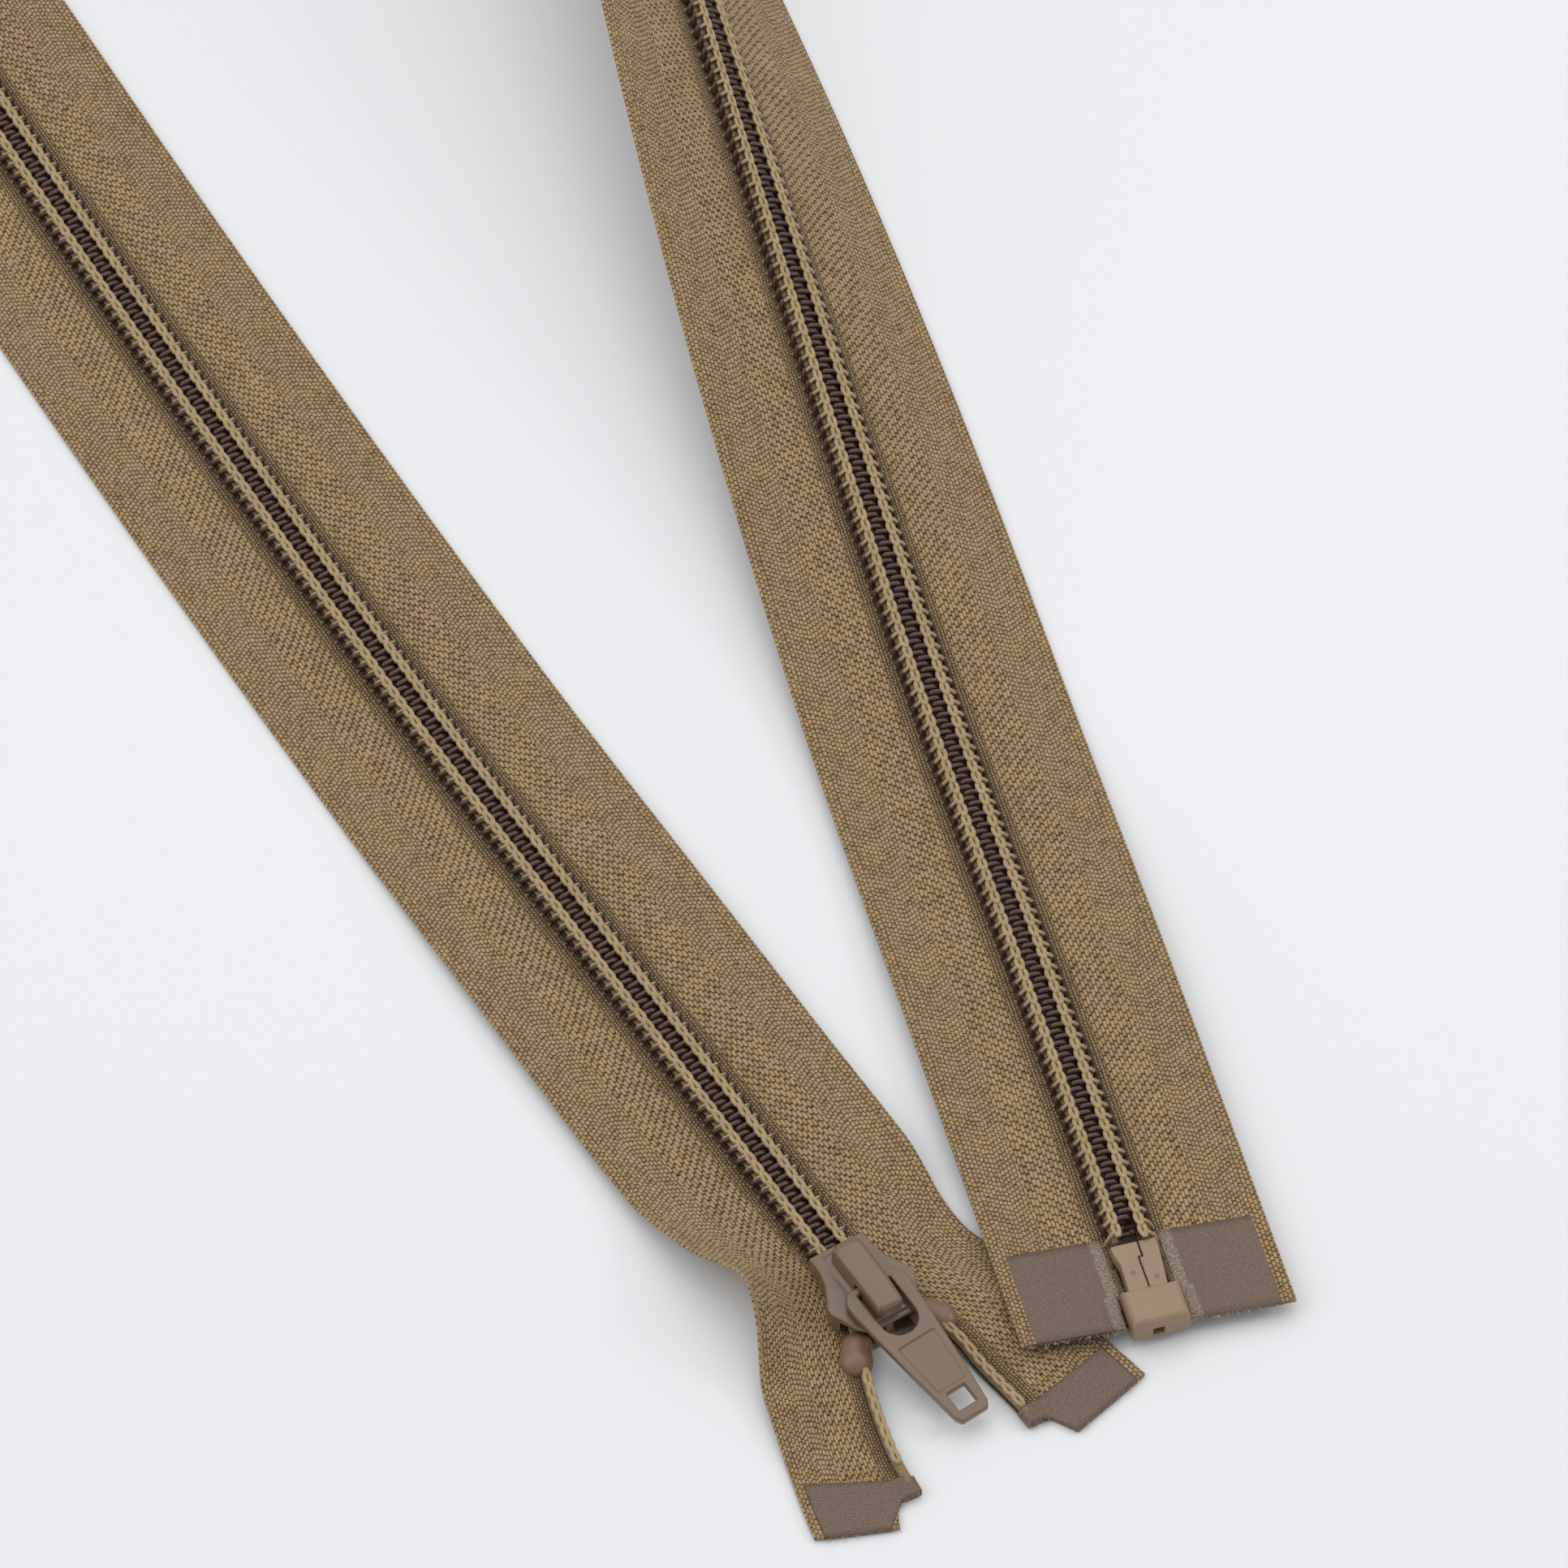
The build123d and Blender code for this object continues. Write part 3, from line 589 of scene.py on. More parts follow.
def cloth_mesh(name, placed, widths, lengths, material, shares=SHARES, swell=0.0, capped=(False, True)):
    """A thin closed strip of cloth, in rows along it.

    placed(row, shares, heights) gives the points of a row, widths are the ends of its scale across,
    lengths are the distances along the tape of each row or point, swell is added to both faces.
    """
    rows = len(lengths)
    top, back = edge_profile(shares)
    across = np.concatenate([shares, shares[::-1]])
    heights = np.concatenate([top + swell, back[::-1] - swell])
    columns = len(across)
    points = np.vstack([placed(row, across, heights) for row in range(rows)])
    faces = grid_faces(rows, columns, wrap=True).tolist()
    half = columns // 2
    walls = len(faces)
    for first, wanted in ((0, capped[0]), ((rows - 1) * columns, capped[1])):
        for c in range(half - 1 if wanted else 0):
            quad = [first + c, first + c + 1, first + columns - 2 - c, first + columns - 1 - c]
            faces.append(quad if first == 0 else quad[::-1])
    u = widths[0] + np.outer(np.ones(rows), across) * (widths[1] - widths[0])
    if np.ndim(lengths) == 1:
        lengths = np.repeat(lengths[:, None], columns, 1)
    uv = np.stack([u.ravel(), lengths.ravel()], -1)
    piece = make_piece(name, points, faces, material, uv)
    for polygon in piece.data.polygons[walls:]:
        polygon.use_smooth = False
    return piece


WIDTHS = (TAPE_INNER, TAPE_HALF)
NEAR_END = 6.0  # rows turn to the slant of the cut over this last stretch before the box
PINS_TO = 6.0  # the pins cover the tapes' inner edges to here, past the end of the chain
BESIDE_PINS = 2.6  # inner edge beside the pins
PAST_PINS = 0.9  # and this much further out past them
TAIL_LEVEL = 24.0  # rows of a tail are square to the slider as far as this
TAIL_AT = 31.0  # a tail's width is taken here


def along_end(side, s, u):
    """Distances along the chain of a row near the box, turning to the slant of the cut end."""
    return s - side * END_SKEW * u * smooth(s, CHAIN_LENGTH - NEAR_END, CHAIN_LENGTH + END_CUT)


def chain_tape(name):
    """One tape from the split to its cut end at the box."""
    side = SIDES[name]
    s = np.concatenate([
        np.arange(SPLIT_AT, CHAIN_LENGTH - NEAR_END, 1.5),
        np.linspace(CHAIN_LENGTH - NEAR_END, CHAIN_LENGTH + END_CUT, 22),
    ])

    def placed(row, shares, heights):
        u = TAPE_INNER + shares * (TAPE_HALF - TAPE_INNER)
        # The pins take the place of the inner edge at the end
        inner = BESIDE_PINS * smooth(s[row], CHAIN_LENGTH - 0.3, CHAIN_LENGTH)
        pins_end = CHAIN_LENGTH + PINS_TO
        inner = inner + PAST_PINS * smooth(s[row], pins_end - 0.1, pins_end + 0.1)
        return on_chain(along_end(side, s[row], u), side * np.maximum(u, inner), heights)

    return cloth_mesh(f"{name}_tape_cloth", placed, WIDTHS, s, tape_material)


def tail_end(name, shares):
    """u and x of a tail's cut end, at shares of its width."""
    ends = np.array(TAIL_ENDS[name], float)
    inner, outer = top_row(name, TAIL_AT, 1), top_row(name, TAIL_AT, 2)
    u = inner + shares * (outer - inner)
    return u, np.interp(u, ends[:, 0], ends[:, 1])


def tail_rows(name, shares, start, count):
    """The x of count rows from the line start(u) to the cut end, at shares of the width."""
    u, last = tail_end(name, shares)
    first = start(u)
    return [first + (last - first) * step for step in np.linspace(0, 1, count)]


def top_tape(name):
    """One tape from the split, past the slider, to its tail's cut end."""
    across = np.concatenate([SHARES, SHARES[::-1]])
    places = [np.full(len(across), x) for x in np.linspace(-SPLIT_AT, TAIL_LEVEL, 90)]
    places += tail_rows(name, across, lambda u: np.full(len(u), TAIL_LEVEL), 12)[1:]

    def placed(row, shares, heights):
        return cloth_on_top(name, places[row], shares, heights)

    return cloth_mesh(f"{name}_tape_top_cloth", placed, WIDTHS, -np.array(places), tape_material)


# ---- Films welded round the cut ends ----
FILM_SHARES = np.array([0.0, 0.03, 0.08, 0.13, 0.2, 0.3, 0.4, 0.5, 0.6, 0.7, 0.8, 0.9, 0.97, 1.0])
FILM_SWELL = 0.06  # a film stands this far out of the cloth on each face
FILM_PROUD = 0.05  # and past its cut end
FILM_OUTER = 14.1
FILM_REAR = -1.8
FILM_BESIDE_PINS = 3.0
FILM_PAST_PINS = 3.5
TAIL_FILM_AT = 29.0  # a tail film's width is taken here
TAIL_FILM_INSET = 1.2  # and it stops this far short of the tape's outer edge
TAIL_FILM_WIDTHS = (6.0, 18.0)
BEAD_RISE = 0.62  # how far the bead lifts the film
# Start line of each tail's film: (x, u) at its outer and inner ends
FILM_LINES = {"left": [(25.3, 19.1), (27.6, 7.0)], "right": [(24.4, 17.6), (29.0, 8.0)]}


film = partial(cloth_mesh, material=film_material, swell=FILM_SWELL, capped=(True, True))


def tail_film(name):
    """A film folded over the stitched bead at a tail's inner edge."""
    (outer_x, outer_u), (inner_x, inner_u) = FILM_LINES[name]
    inner, outer = top_row(name, TAIL_FILM_AT, 1), top_row(name, TAIL_FILM_AT, 2)
    kept = FILM_SHARES * (1 - TAIL_FILM_INSET / (outer - inner))
    across = np.concatenate([kept, kept[::-1]])

    def start(u):
        return inner_x + (u - inner_u) * (outer_x - inner_x) / (outer_u - inner_u)

    rows = tail_rows(name, across, start, 10)
    places = [x + FILM_PROUD * (n / (len(rows) - 1)) for n, x in enumerate(rows)]

    def placed(row, shares, heights):
        from_edge = shares * (outer - inner)
        over_bead = BEAD_RISE * (1 - smooth(from_edge, 1.2, 2.3)) * (heights > TAPE_TOP / 2)
        # The edge column stands out a little, so that the film covers the tape's inner edge
        return cloth_on_top(name, places[row], shares - 0.008 * (shares == 0), heights + over_bead)

    return film(f"{name}_tail_film", placed, TAIL_FILM_WIDTHS, -np.array(places), shares=kept)


def box_film(name):
    """The film beside the box, with a thin glued margin against the pins."""
    side = SIDES[name]
    s = np.concatenate([
        np.linspace(CHAIN_LENGTH + FILM_REAR, CHAIN_LENGTH + PINS_TO - 0.1, 8),
        np.linspace(CHAIN_LENGTH + PINS_TO + 0.1, CHAIN_LENGTH + END_CUT + FILM_PROUD, 5),
    ])

    def placed(row, shares, heights):
        inner = FILM_BESIDE_PINS if s[row] < CHAIN_LENGTH + PINS_TO else FILM_PAST_PINS
        u = inner + shares * (FILM_OUTER - inner)
        places = s[row] - side * END_SKEW * u
        return on_chain(places, side * u, heights)

    return film(f"{name}_box_film", placed, (FILM_BESIDE_PINS, FILM_OUTER), s, shares=FILM_SHARES)


# ---- Loose fibres at the cut ends ----
FIBRES = 34
FIBRE_R = 0.035
FIBRE_FROM = 0.3  # height of the fibres, at the middle of the cloth
TAIL_SEED, BOX_SEED = 11, 21


def fray(piece_name, seed, place, forwards, sideways):
    """Short fibres from place(share across the cut), leaning mostly forwards."""
    chance = np.random.default_rng(seed)
    parts = []
    for _ in range(FIBRES):
        start = place(chance.uniform(0, 0.93))
        lean = chance.uniform(-0.9, 0.9)
        heading = forwards * math.cos(lean) + sideways * math.sin(lean)
        curl = sideways * chance.uniform(-0.5, 0.5) + UP * chance.uniform(-0.1, 0.35)
        length = chance.uniform(0.25, 1.1)
        t = np.linspace(0, 1, 5)[:, None]
        points = start - heading * 0.3 + heading * length * t + curl * length * t**2
        parts.append(tube(points, np.broadcast_to(UP, points.shape), FIBRE_R, FIBRE_R, 4))
    return gathered(piece_name, parts, fibre_material)


def tail_fray(name):
    def place(share):
        x = tail_end(name, share)[1]
        return cloth_on_top(name, np.array([x]), np.array([share]), FIBRE_FROM)[0]

    return fray(f"{name}_tail_fibres", TAIL_SEED + SIDES[name], place, slider_x, slider_y)


def box_fray(name):
    side = SIDES[name]

    def place(share):
        u = FILM_PAST_PINS + share * (TAPE_HALF - FILM_PAST_PINS)
        s = along_end(side, np.array([CHAIN_LENGTH + END_CUT]), u)
        return on_chain(s, side * u, FIBRE_FROM)[0]

    return fray(f"{name}_box_fibres", BOX_SEED + SIDES[name], place, box_x, box_y)


# ---- Strands ----
class Lay:
    """How strands lie along one side, by distance s from the slider: on the chain or on a tape top."""

    def __init__(self, name, top):
        self.name, self.top = name, top

    def place(self, s, u, h):
        return on_top(self.name, -s, u, h) if self.top else on_chain(s, SIDES[self.name] * u, h)

    def across(self, s):
        return np.broadcast_to(slider_y, (len(s), 3)) if self.top else chain_axes(s)[1]

    def along(self, s):
        return np.broadcast_to(-slider_x, (len(s), 3)) if self.top else chain_axes(s)[3]


# ---- Selvages: the loops of yarn at a tape's outer edge ----
LOOP_STEP = 0.66
SELVAGE_R = 0.26
SELVAGE_IN = 0.33  # its middle is this far in from the tape's outer edge
CLOTH_MIDDLE = (TAPE_TOP + TAPE_BACK) / 2


def selvage(piece_name, first, last, place, lay):
    """A knobbly cord along an outer edge from first to last."""
    s = np.arange(first, last, LOOP_STEP / 5)
    swelling = np.abs(np.sin(math.pi * s / LOOP_STEP)) ** 0.6
    points = place(s, 0.05 * swelling)
    cord = tube(points, lay.across(s), SELVAGE_R * (0.7 + 0.42 * swelling), 0.2 + 0.09 * swelling, 6)
    return make_piece(piece_name, *cord, selvage_material)


def chain_selvage(name):
    side = SIDES[name]

    def place(s, out):
        u = TAPE_HALF - SELVAGE_IN + out
        return on_chain(along_end(side, s, u), side * u, CLOTH_MIDDLE)

    last = CHAIN_LENGTH + END_CUT
    return selvage(f"{name}_selvage", SPLIT_AT, last, place, Lay(name, top=False))


def top_selvage(name):
    def place(s, out):
        share = 1 - (SELVAGE_IN - out) / (TAPE_HALF - TAPE_INNER)
        return cloth_on_top(name, s, share, CLOTH_MIDDLE)

    last = TAIL_ENDS[name][-1][1] + 0.6
    return selvage(f"{name}_selvage_top", -SPLIT_AT, last, place, Lay(name, top=True))


# ---- Coils ----
# One turn of a coil: u, h and the advance in pitches, from the head round by the front of the tape
TURN = np.array([
    (-0.52, 1.50, 0.00),
    (-0.44, 1.82, 0.00),
    (-0.14, 2.05, 0.00),
    (0.50, 2.07, 0.01),
    (1.15, 2.07, 0.05),
    (1.80, 2.07, 0.11),
    (2.30, 2.03, 0.19),
    (2.60, 1.82, 0.29),
    (2.72, 1.48, 0.42),
    (2.62, 1.15, 0.56),
    (2.30, 0.97, 0.69),
    (1.60, 0.93, 0.83),
    (0.80, 0.93, 0.95),
    (-0.14, 0.95, 1.00),
    (-0.44, 1.18, 1.00),
])
SPLIT_TURN = int(SPLIT_AT // PITCH)  # turns below this one are on the pieces that bend
PHASE = {"left": 0.0, "right": 0.5}  # the right coil's turns lie between the left one's, in pitches
COIL_END = 10.9  # the coil ends this far forwards of the slider's rear end
COIL_SHORT = 0.4  # and this far short of the box end of the chain


def coil(name, top):
    lay = Lay(name, top)
    first, last = -int(COIL_END // PITCH), SPLIT_TURN
    if not top:
        first, last = SPLIT_TURN, int((CHAIN_LENGTH - COIL_SHORT) // PITCH - PHASE[name])
    numbers = np.arange(first, last)
    s = ((numbers[:, None] + TURN[None, :, 2] + PHASE[name]) * PITCH).ravel()
    s = np.append(s, (last + PHASE[name]) * PITCH)
    u, h = (np.append(np.tile(TURN[:, i], len(numbers)), TURN[0, i]) for i in (0, 1))
    head = np.clip(1 - (u - TURN[0, 0]), 0, 1)
    spiral = tube(lay.place(s, u, h), lay.along(s), WIRE_R * (1 + HEAD_SWELL * head), WIRE_R)
    return make_piece(f"{name}_coil{'_top' * top}_turns", *spiral, nylon_material)


# ---- Chain stitching: two strands of each link, and the tie that goes down between the turns ----
LINK = np.array([
    (-0.08, 0.00, -0.04),
    (0.10, 0.17, 0.01),
    (0.30, 0.30, 0.03),
    (0.55, 0.32, 0.04),
    (0.80, 0.24, 0.08),
    (1.02, 0.10, 0.15),
    (1.18, 0.02, 0.11),
])
TIE = np.array([
    (0.78, 0.28, 0.14),
    (0.86, 0.62, 0.02),
    (0.93, 0.98, -0.30),
    (0.97, 1.28, -0.90),
    (0.98, 1.50, -1.60),
])
LINK_FROM = 0.42  # share of a pitch from a turn to the start of its link
TIE_THICK = 0.16
STITCHES_ON = COIL_TOP - 0.06  # the links lie in the coil's surface
STOP_FROM, STOP_TO = 9.2, 15.7  # a top stop is moulded over the stitching here
BACK_LINES = (1.15, 1.75)
BACK_DASH = np.array([(0.1, 0.0), (0.3, 0.03), (0.6, 0.03), (0.8, 0.0)])


def stitches(piece_name, lay, first, last, top_of):
    """A row of chain stitches from turn first to last, lying on something as high as top_of(s)."""
    parts = []
    for number in range(first, last):
        base = (number + PHASE[lay.name] + LINK_FROM) * PITCH
        if STOP_FROM < -base < STOP_TO:
            continue
        for outwards in (-1, 1):
            s = base + LINK[:, 0] * PITCH
            u = STITCH_AT + outwards * LINK[:, 1]
            points = lay.place(s, u, top_of(s) + LINK[:, 2])
            parts.append(tube(points, lay.across(s), THREAD_WIDE, THREAD_R, 6))
        if top_of(base) < COIL_TOP - 0.1:
            continue
        s = base + TIE[:, 0] * PITCH
        points = lay.place(s, STITCH_AT + TIE[:, 1], top_of(s) + TIE[:, 2])
        parts.append(tube(points, lay.across(s), np.linspace(THREAD_WIDE, 0.2, len(s)), TIE_THICK, 6))
    return gathered(piece_name, parts, stitch_material)


def chain_stitches(name):
    lay, last = Lay(name, top=False), int(CHAIN_LENGTH // PITCH) - 1
    return stitches(f"{name}_chain_stitches", lay, SPLIT_TURN, last, lambda s: STITCHES_ON + 0 * s)


BEAD_TOP = 1.42  # height of the stitched bead of a tail, past the coil
BEAD_FROM, BEAD_FULL = 11.5, 15.5  # the strands go down to it between these
TAIL_STITCH_END = {"left": 28.2, "right": 29.6}


def top_stitches(name):
    def top_of(s):
        return BEAD_TOP + (STITCHES_ON - BEAD_TOP) * smooth(s, -BEAD_FULL, -BEAD_FROM)

    lay, first = Lay(name, top=True), -int(TAIL_STITCH_END[name] // PITCH)
    return stitches(f"{name}_chain_stitches_top", lay, first, SPLIT_TURN, top_of)


def back_stitches(name):
    """Two lines of short dashes on the back of the tape."""
    lay = Lay(name, top=False)
    parts = []
    for number in np.arange(math.ceil(SPLIT_AT / PITCH), math.floor(CHAIN_LENGTH / PITCH) - 1):
        s = (number + PHASE[name] + BACK_DASH[:, 0]) * PITCH
        for u in BACK_LINES:
            points = lay.place(s, u, TAPE_BACK - BACK_DASH[:, 1])
            parts.append(tube(points, lay.across(s), 0.16, 0.05, 5))
    return gathered(f"{name}_back_stitches", parts, stitch_material)


# ---- Filler cords ----
CORD_AT = 1.8
CORD_MIDDLE = 1.5  # height of the cord's middle
CORD_WIDE = 0.42  # half its width and half its thickness, inside the coil
CORD_THICK = 0.25


def chain_cord(name):
    lay = Lay(name, top=False)
    s = np.arange(SPLIT_AT, CHAIN_LENGTH - 0.5, 1.0)
    core = tube(lay.place(s, CORD_AT, CORD_MIDDLE), lay.across(s), CORD_WIDE, CORD_THICK)
    return make_piece(f"{name}_cord_core", *core, cord_material)


def top_cord(name):
    lay = Lay(name, top=True)
    x = np.arange(-SPLIT_AT, TAIL_STITCH_END[name] + 0.4, 0.5)
    # Past the coil the cord lies lower and further in, and fills the bead under the stitches
    bead = smooth(x, BEAD_FROM, BEAD_FULL)
    points = lay.place(-x, CORD_AT - 0.4 * bead, CORD_MIDDLE - 0.62 * bead)
    core = tube(points, lay.across(x), CORD_WIDE + 0.18 * bead, CORD_THICK + 0.2 * bead, 10)
    return make_piece(f"{name}_cord_top_core", *core, cord_material)


# ---- Cast and moulded pieces, from distance fields ----
def polygon_distance(x, y, outline):
    """Signed distance in plan to a closed outline, negative inside, for a grid of any height."""
    x, y = x[:, :, 0], y[:, :, 0]
    points = np.array(outline, float)
    best = np.full(x.shape, 1e9)
    inside = np.zeros(x.shape, bool)
    for (ax, ay), (bx, by) in zip(points, np.roll(points, -1, 0)):
        ex, ey = bx - ax, by - ay
        t = np.clip(((x - ax) * ex + (y - ay) * ey) / (ex * ex + ey * ey), 0, 1)
        best = np.minimum(best, (x - ax - t * ex) ** 2 + (y - ay - t * ey) ** 2)
        if ay != by:
            crossing = (ay > y) != (by > y)
            inside ^= crossing & (x < ex * (y - ay) / ey + ax)
    return (np.where(inside, -1, 1) * np.sqrt(best))[:, :, None]


def oblong(a, b, middle, half):
    """Distance in a plane to an oblong with this middle and these half sides, sharp-cornered."""
    return np.maximum(np.abs(a - middle[0]) - half[0], np.abs(b - middle[1]) - half[1])


def rounded(flat, tall, rounding):
    """What lies inside both fields, with the edge between them rounded."""
    a, b = flat + rounding, tall + rounding
    outside = np.sqrt(np.maximum(a, 0) ** 2 + np.maximum(b, 0) ** 2)
    return outside + np.minimum(np.maximum(a, b), 0) - rounding


def extruded(flat, z, low, high, rounding):
    """Solid of a plan distance between two heights, with rounded edges."""
    return rounded(flat, np.abs(z - (low + high) / 2) - (high - low) / 2, rounding)


def joined(a, b, blend):
    """Union of two fields with a fillet."""
    t = np.clip(0.5 + 0.5 * (b - a) / blend, 0, 1)
    return b + (a - b) * t - blend * t * (1 - t)


def cut(a, b, blend):
    """The first field less the second, with rounded rims."""
    return -joined(-a, b, blend)


def ball(x, y, z, centre, radii):
    """Distance to an ellipsoid, near enough for a smooth surface."""
    k = np.sqrt(sum(((v - c) / r) ** 2 for v, c, r in zip((x, y, z), centre, radii)))
    return (k - 1) * min(radii)


def surface(field, low, step):
    """Points and quads of a field's zero surface: one point in each cell that it crosses."""
    inside = field < 0
    shape = np.array(field.shape) - 1
    total = np.zeros((*shape, 3))
    count = np.zeros(shape)
    corner = [slice(0, -1), slice(1, None)]
    grid = np.stack(np.meshgrid(*[np.arange(n) for n in shape], indexing="ij"), -1).astype(float)
    crossings = []
    for axis in range(3):
        others = [i for i in range(3) if i != axis]
        for p, q in np.ndindex(2, 2):
            start, end = [None] * 3, [None] * 3
            start[axis], end[axis] = corner
            start[others[0]] = end[others[0]] = corner[p]
            start[others[1]] = end[others[1]] = corner[q]
            a, b = field[tuple(start)], field[tuple(end)]
            crossed = (a < 0) != (b < 0)
            offset = np.zeros((*shape, 3))
            offset[..., axis] = np.where(crossed, a / np.where(crossed, a - b, 1), 0)
            offset[..., others] = p, q
            total += np.where(crossed[..., None], grid + offset, 0)
            count += crossed
        first, second = [slice(1, -1)] * 3, [slice(1, -1)] * 3
        first[axis], second[axis] = slice(0, -1), slice(1, None)
        crossings.append((axis, others, inside[tuple(first)], inside[tuple(second)]))
    used = count > 0
    number = np.full(shape, -1)
    number[used] = np.arange(used.sum())
    points = total[used] / count[used][:, None] * step + low
    faces = []
    for axis, others, a, b in crossings:
        places = np.argwhere(a != b)
        base = places + 1
        base[:, axis] -= 1
        ring = []
        for p, q in ((0, 0), (1, 0), (1, 1), (0, 1)):
            cell = base.copy()
            cell[:, others] -= p, q
            ring.append(number[tuple(cell.T)])
        quads = np.stack(ring, -1)
        flip = a[tuple(places.T)] if axis != 1 else ~a[tuple(places.T)]
        quads[~flip] = quads[~flip][:, ::-1]
        faces.append(quads)
    return points, np.vstack(faces)


def cast(name, shape, low, high, step, place, material):
    """A piece whose surface is shape(x, y, z) = 0 in its own frame, put in the model by place(points)."""
    axes = [np.arange(a - 2 * step, b + 3 * step, step) for a, b in zip(low, high)]
    x, y, z = np.meshgrid(*axes, indexing="ij")
    start = np.array([a[0] for a in axes])
    points, faces = surface(shape(x, y, z), start, step)
    return make_piece(name, place(points), faces.tolist(), material)


def mirrored(outline):
    """An outline given along one side, closed by its mirror image."""
    return outline + [(x, -y) for x, y in reversed(outline)]


BODY = mirrored([
    (0, 3.5), (2.2, 3.55), (4.0, 3.95), (5.6, 4.75), (6.9, 5.45),
    (7.7, 5.5), (10.6, 4.1), (11.4, 3.3), (11.8, 2.4),
])
CHANNEL = mirrored([(-2, 3.15), (4, 3.15), (14, 6.8)])
WEDGE = [(5.0, 0), (10.2, 0.75), (11.3, 0.45), (11.3, -0.45), (10.2, -0.75)]


def slider_body_shape(x, y, z):
    plan, channel, wedge = (polygon_distance(x, y, line) for line in (BODY, CHANNEL, WEDGE))
    slope = 4.5 - 0.5 * np.clip((x - 8.8) / 3, 0, 1) - 0.25 * np.clip((1.4 - x) / 1.4, 0, 1)
    upper = np.maximum(extruded(plan, z, 3.62, 4.5, 0.22), z - slope)
    skirt = cut(extruded(plan, z, 1.87, 4.1, 0.2), extruded(channel, z, 0, 3.64, 0.1), 0.1)
    body = joined(upper, skirt, 0.12)
    lower = extruded(plan + 0.05, z, 0.05, 0.94, 0.2)
    post = extruded(wedge, z, 0.4, 4.0, 0.1)
    # A low seat under the crown
    seat = extruded(oblong(x, y, (6.2, 0), (5.2, 2.1)), z, 4.2, 4.75, 0.25)
    return joined(joined(body, joined(lower, post, 0.25), 0.1), seat, 0.3)


CROWN = mirrored([(1.35, 1.1), (1.9, 1.72), (4.0, 1.8), (8.0, 1.72), (11.3, 1.6), (11.8, 1.0)])


def crown_shape(x, y, z):
    """A long cap with a nearly flat top, lower at both ends, hollow inside and undercut at its nose."""
    top = 7.35 - 0.3 * np.clip((x - 6) / 5.6, 0, 1) ** 2 - 0.5 * np.clip((3.0 - x) / 1.6, 0, 1) ** 2
    top = top - 0.05 * y * y
    cap = rounded(polygon_distance(x, y, CROWN), np.maximum(z - top, 4.45 - z), 0.62)
    slot = extruded(oblong(x, y, (7.3, 0), (0.72, 4)), z, 3.5, 6.0, 0.3)
    inside = np.maximum(oblong(x, y, (6.9, 0), (3.6, 1.2)), z - top + 0.6)
    under = np.maximum(9.6 - x, z - 5.3)
    return cut(cut(cut(cap, slot, 0.12), inside, 0.1), under, 0.25)


PULL_DIP, PULL_YAW = 9.0, 4.5  # how far the pull hangs down and points aside at rest, in degrees
dip = math.radians(PULL_DIP)
PIVOT = at_slider(np.array([(7.3, 0.0, 5.4)]))[0]
pull_level = direction(np.float64(SLIDER_HEADING - PULL_YAW))
pull_x = pull_level * math.cos(dip) - UP * math.sin(dip)
pull_up = pull_level * math.sin(dip) + UP * math.cos(dip)
pull_y = np.cross(pull_up, pull_x)
TAB = mirrored([
    (-0.4, 2.6), (-0.2, 3.3), (0.8, 3.9), (2.2, 3.95),
    (6.6, 3.55), (12.0, 3.0), (18.6, 2.2), (19.4, 1.7),
])
PANEL = mirrored([(8.35, 2.35), (11.5, 2.1), (14.9, 1.8)])


def pull_shape(x, y, z):
    tab, panel = polygon_distance(x, y, TAB), polygon_distance(x, y, PANEL)
    window = np.sqrt(np.maximum(x - 4.95, 0) ** 2 + y * y) - 2.25
    window = np.maximum(window, 0.35 - x)
    plate = cut(extruded(tab, z, -0.5, 0.5, 0.22), window, 0.18)
    plate = cut(plate, oblong(x, y, (16.8, 0), (1.2, 1.25)), 0.15)
    plate = cut(plate, extruded(panel, z, 0.34, 1.2, 0.05), 0.14)
    # A groove that sets the panel off from its frame
    plate = cut(plate, np.sqrt((panel + 0.02) ** 2 + (z - 0.42) ** 2) - 0.1, 0.08)
    bar = np.maximum(np.sqrt(x * x + z * z) - 0.5, np.abs(y) - 3.2)
    return joined(plate, bar, 0.25)


def at_pull(points):
    return in_frame(PIVOT, pull_x, pull_y, points, pull_up)


# Centres and radii of the two lobes of a stop
STOP_BLOBS = [((11.3, 4.35, 1.8), (1.7, 1.75, 1.4)), ((13.0, 5.5, 1.8), (1.95, 1.85, 1.45))]


def stop_shape(x, y, z):
    first, second = (ball(x, y, z, centre, radii) for centre, radii in STOP_BLOBS)
    return np.maximum(joined(first, second, 0.7), 0.35 - z)


def box_shape(x, y, z):
    shell = extruded(oblong(x, y, (8.75, 0), (2.5, 3.35)), z, 0.92, 4.45, 0.85)
    mouth = np.maximum(oblong(y, z, (-0.3, 2.3), (0.65, 0.6)), 10.0 - x)
    dish = extruded(oblong(x, y, (8.6, 0), (1.5, 2.2)), z, 4.4, 6.0, 0.05)
    return cut(cut(shell, mouth, 0.12), dish, 0.1)


BOX_PIN = [
    (0.02, -2.7), (0.02, 0.4), (2.0, 0.4), (2.0, -0.05),
    (6.6, -0.05), (6.6, -2.4), (2.6, -2.25), (1.3, -2.6),
]
INSERT_PIN = [(0.02, 0.55), (0.02, 2.6), (1.4, 2.6), (6.6, 2.1), (6.6, 0.07), (2.15, 0.07), (2.15, 0.55)]


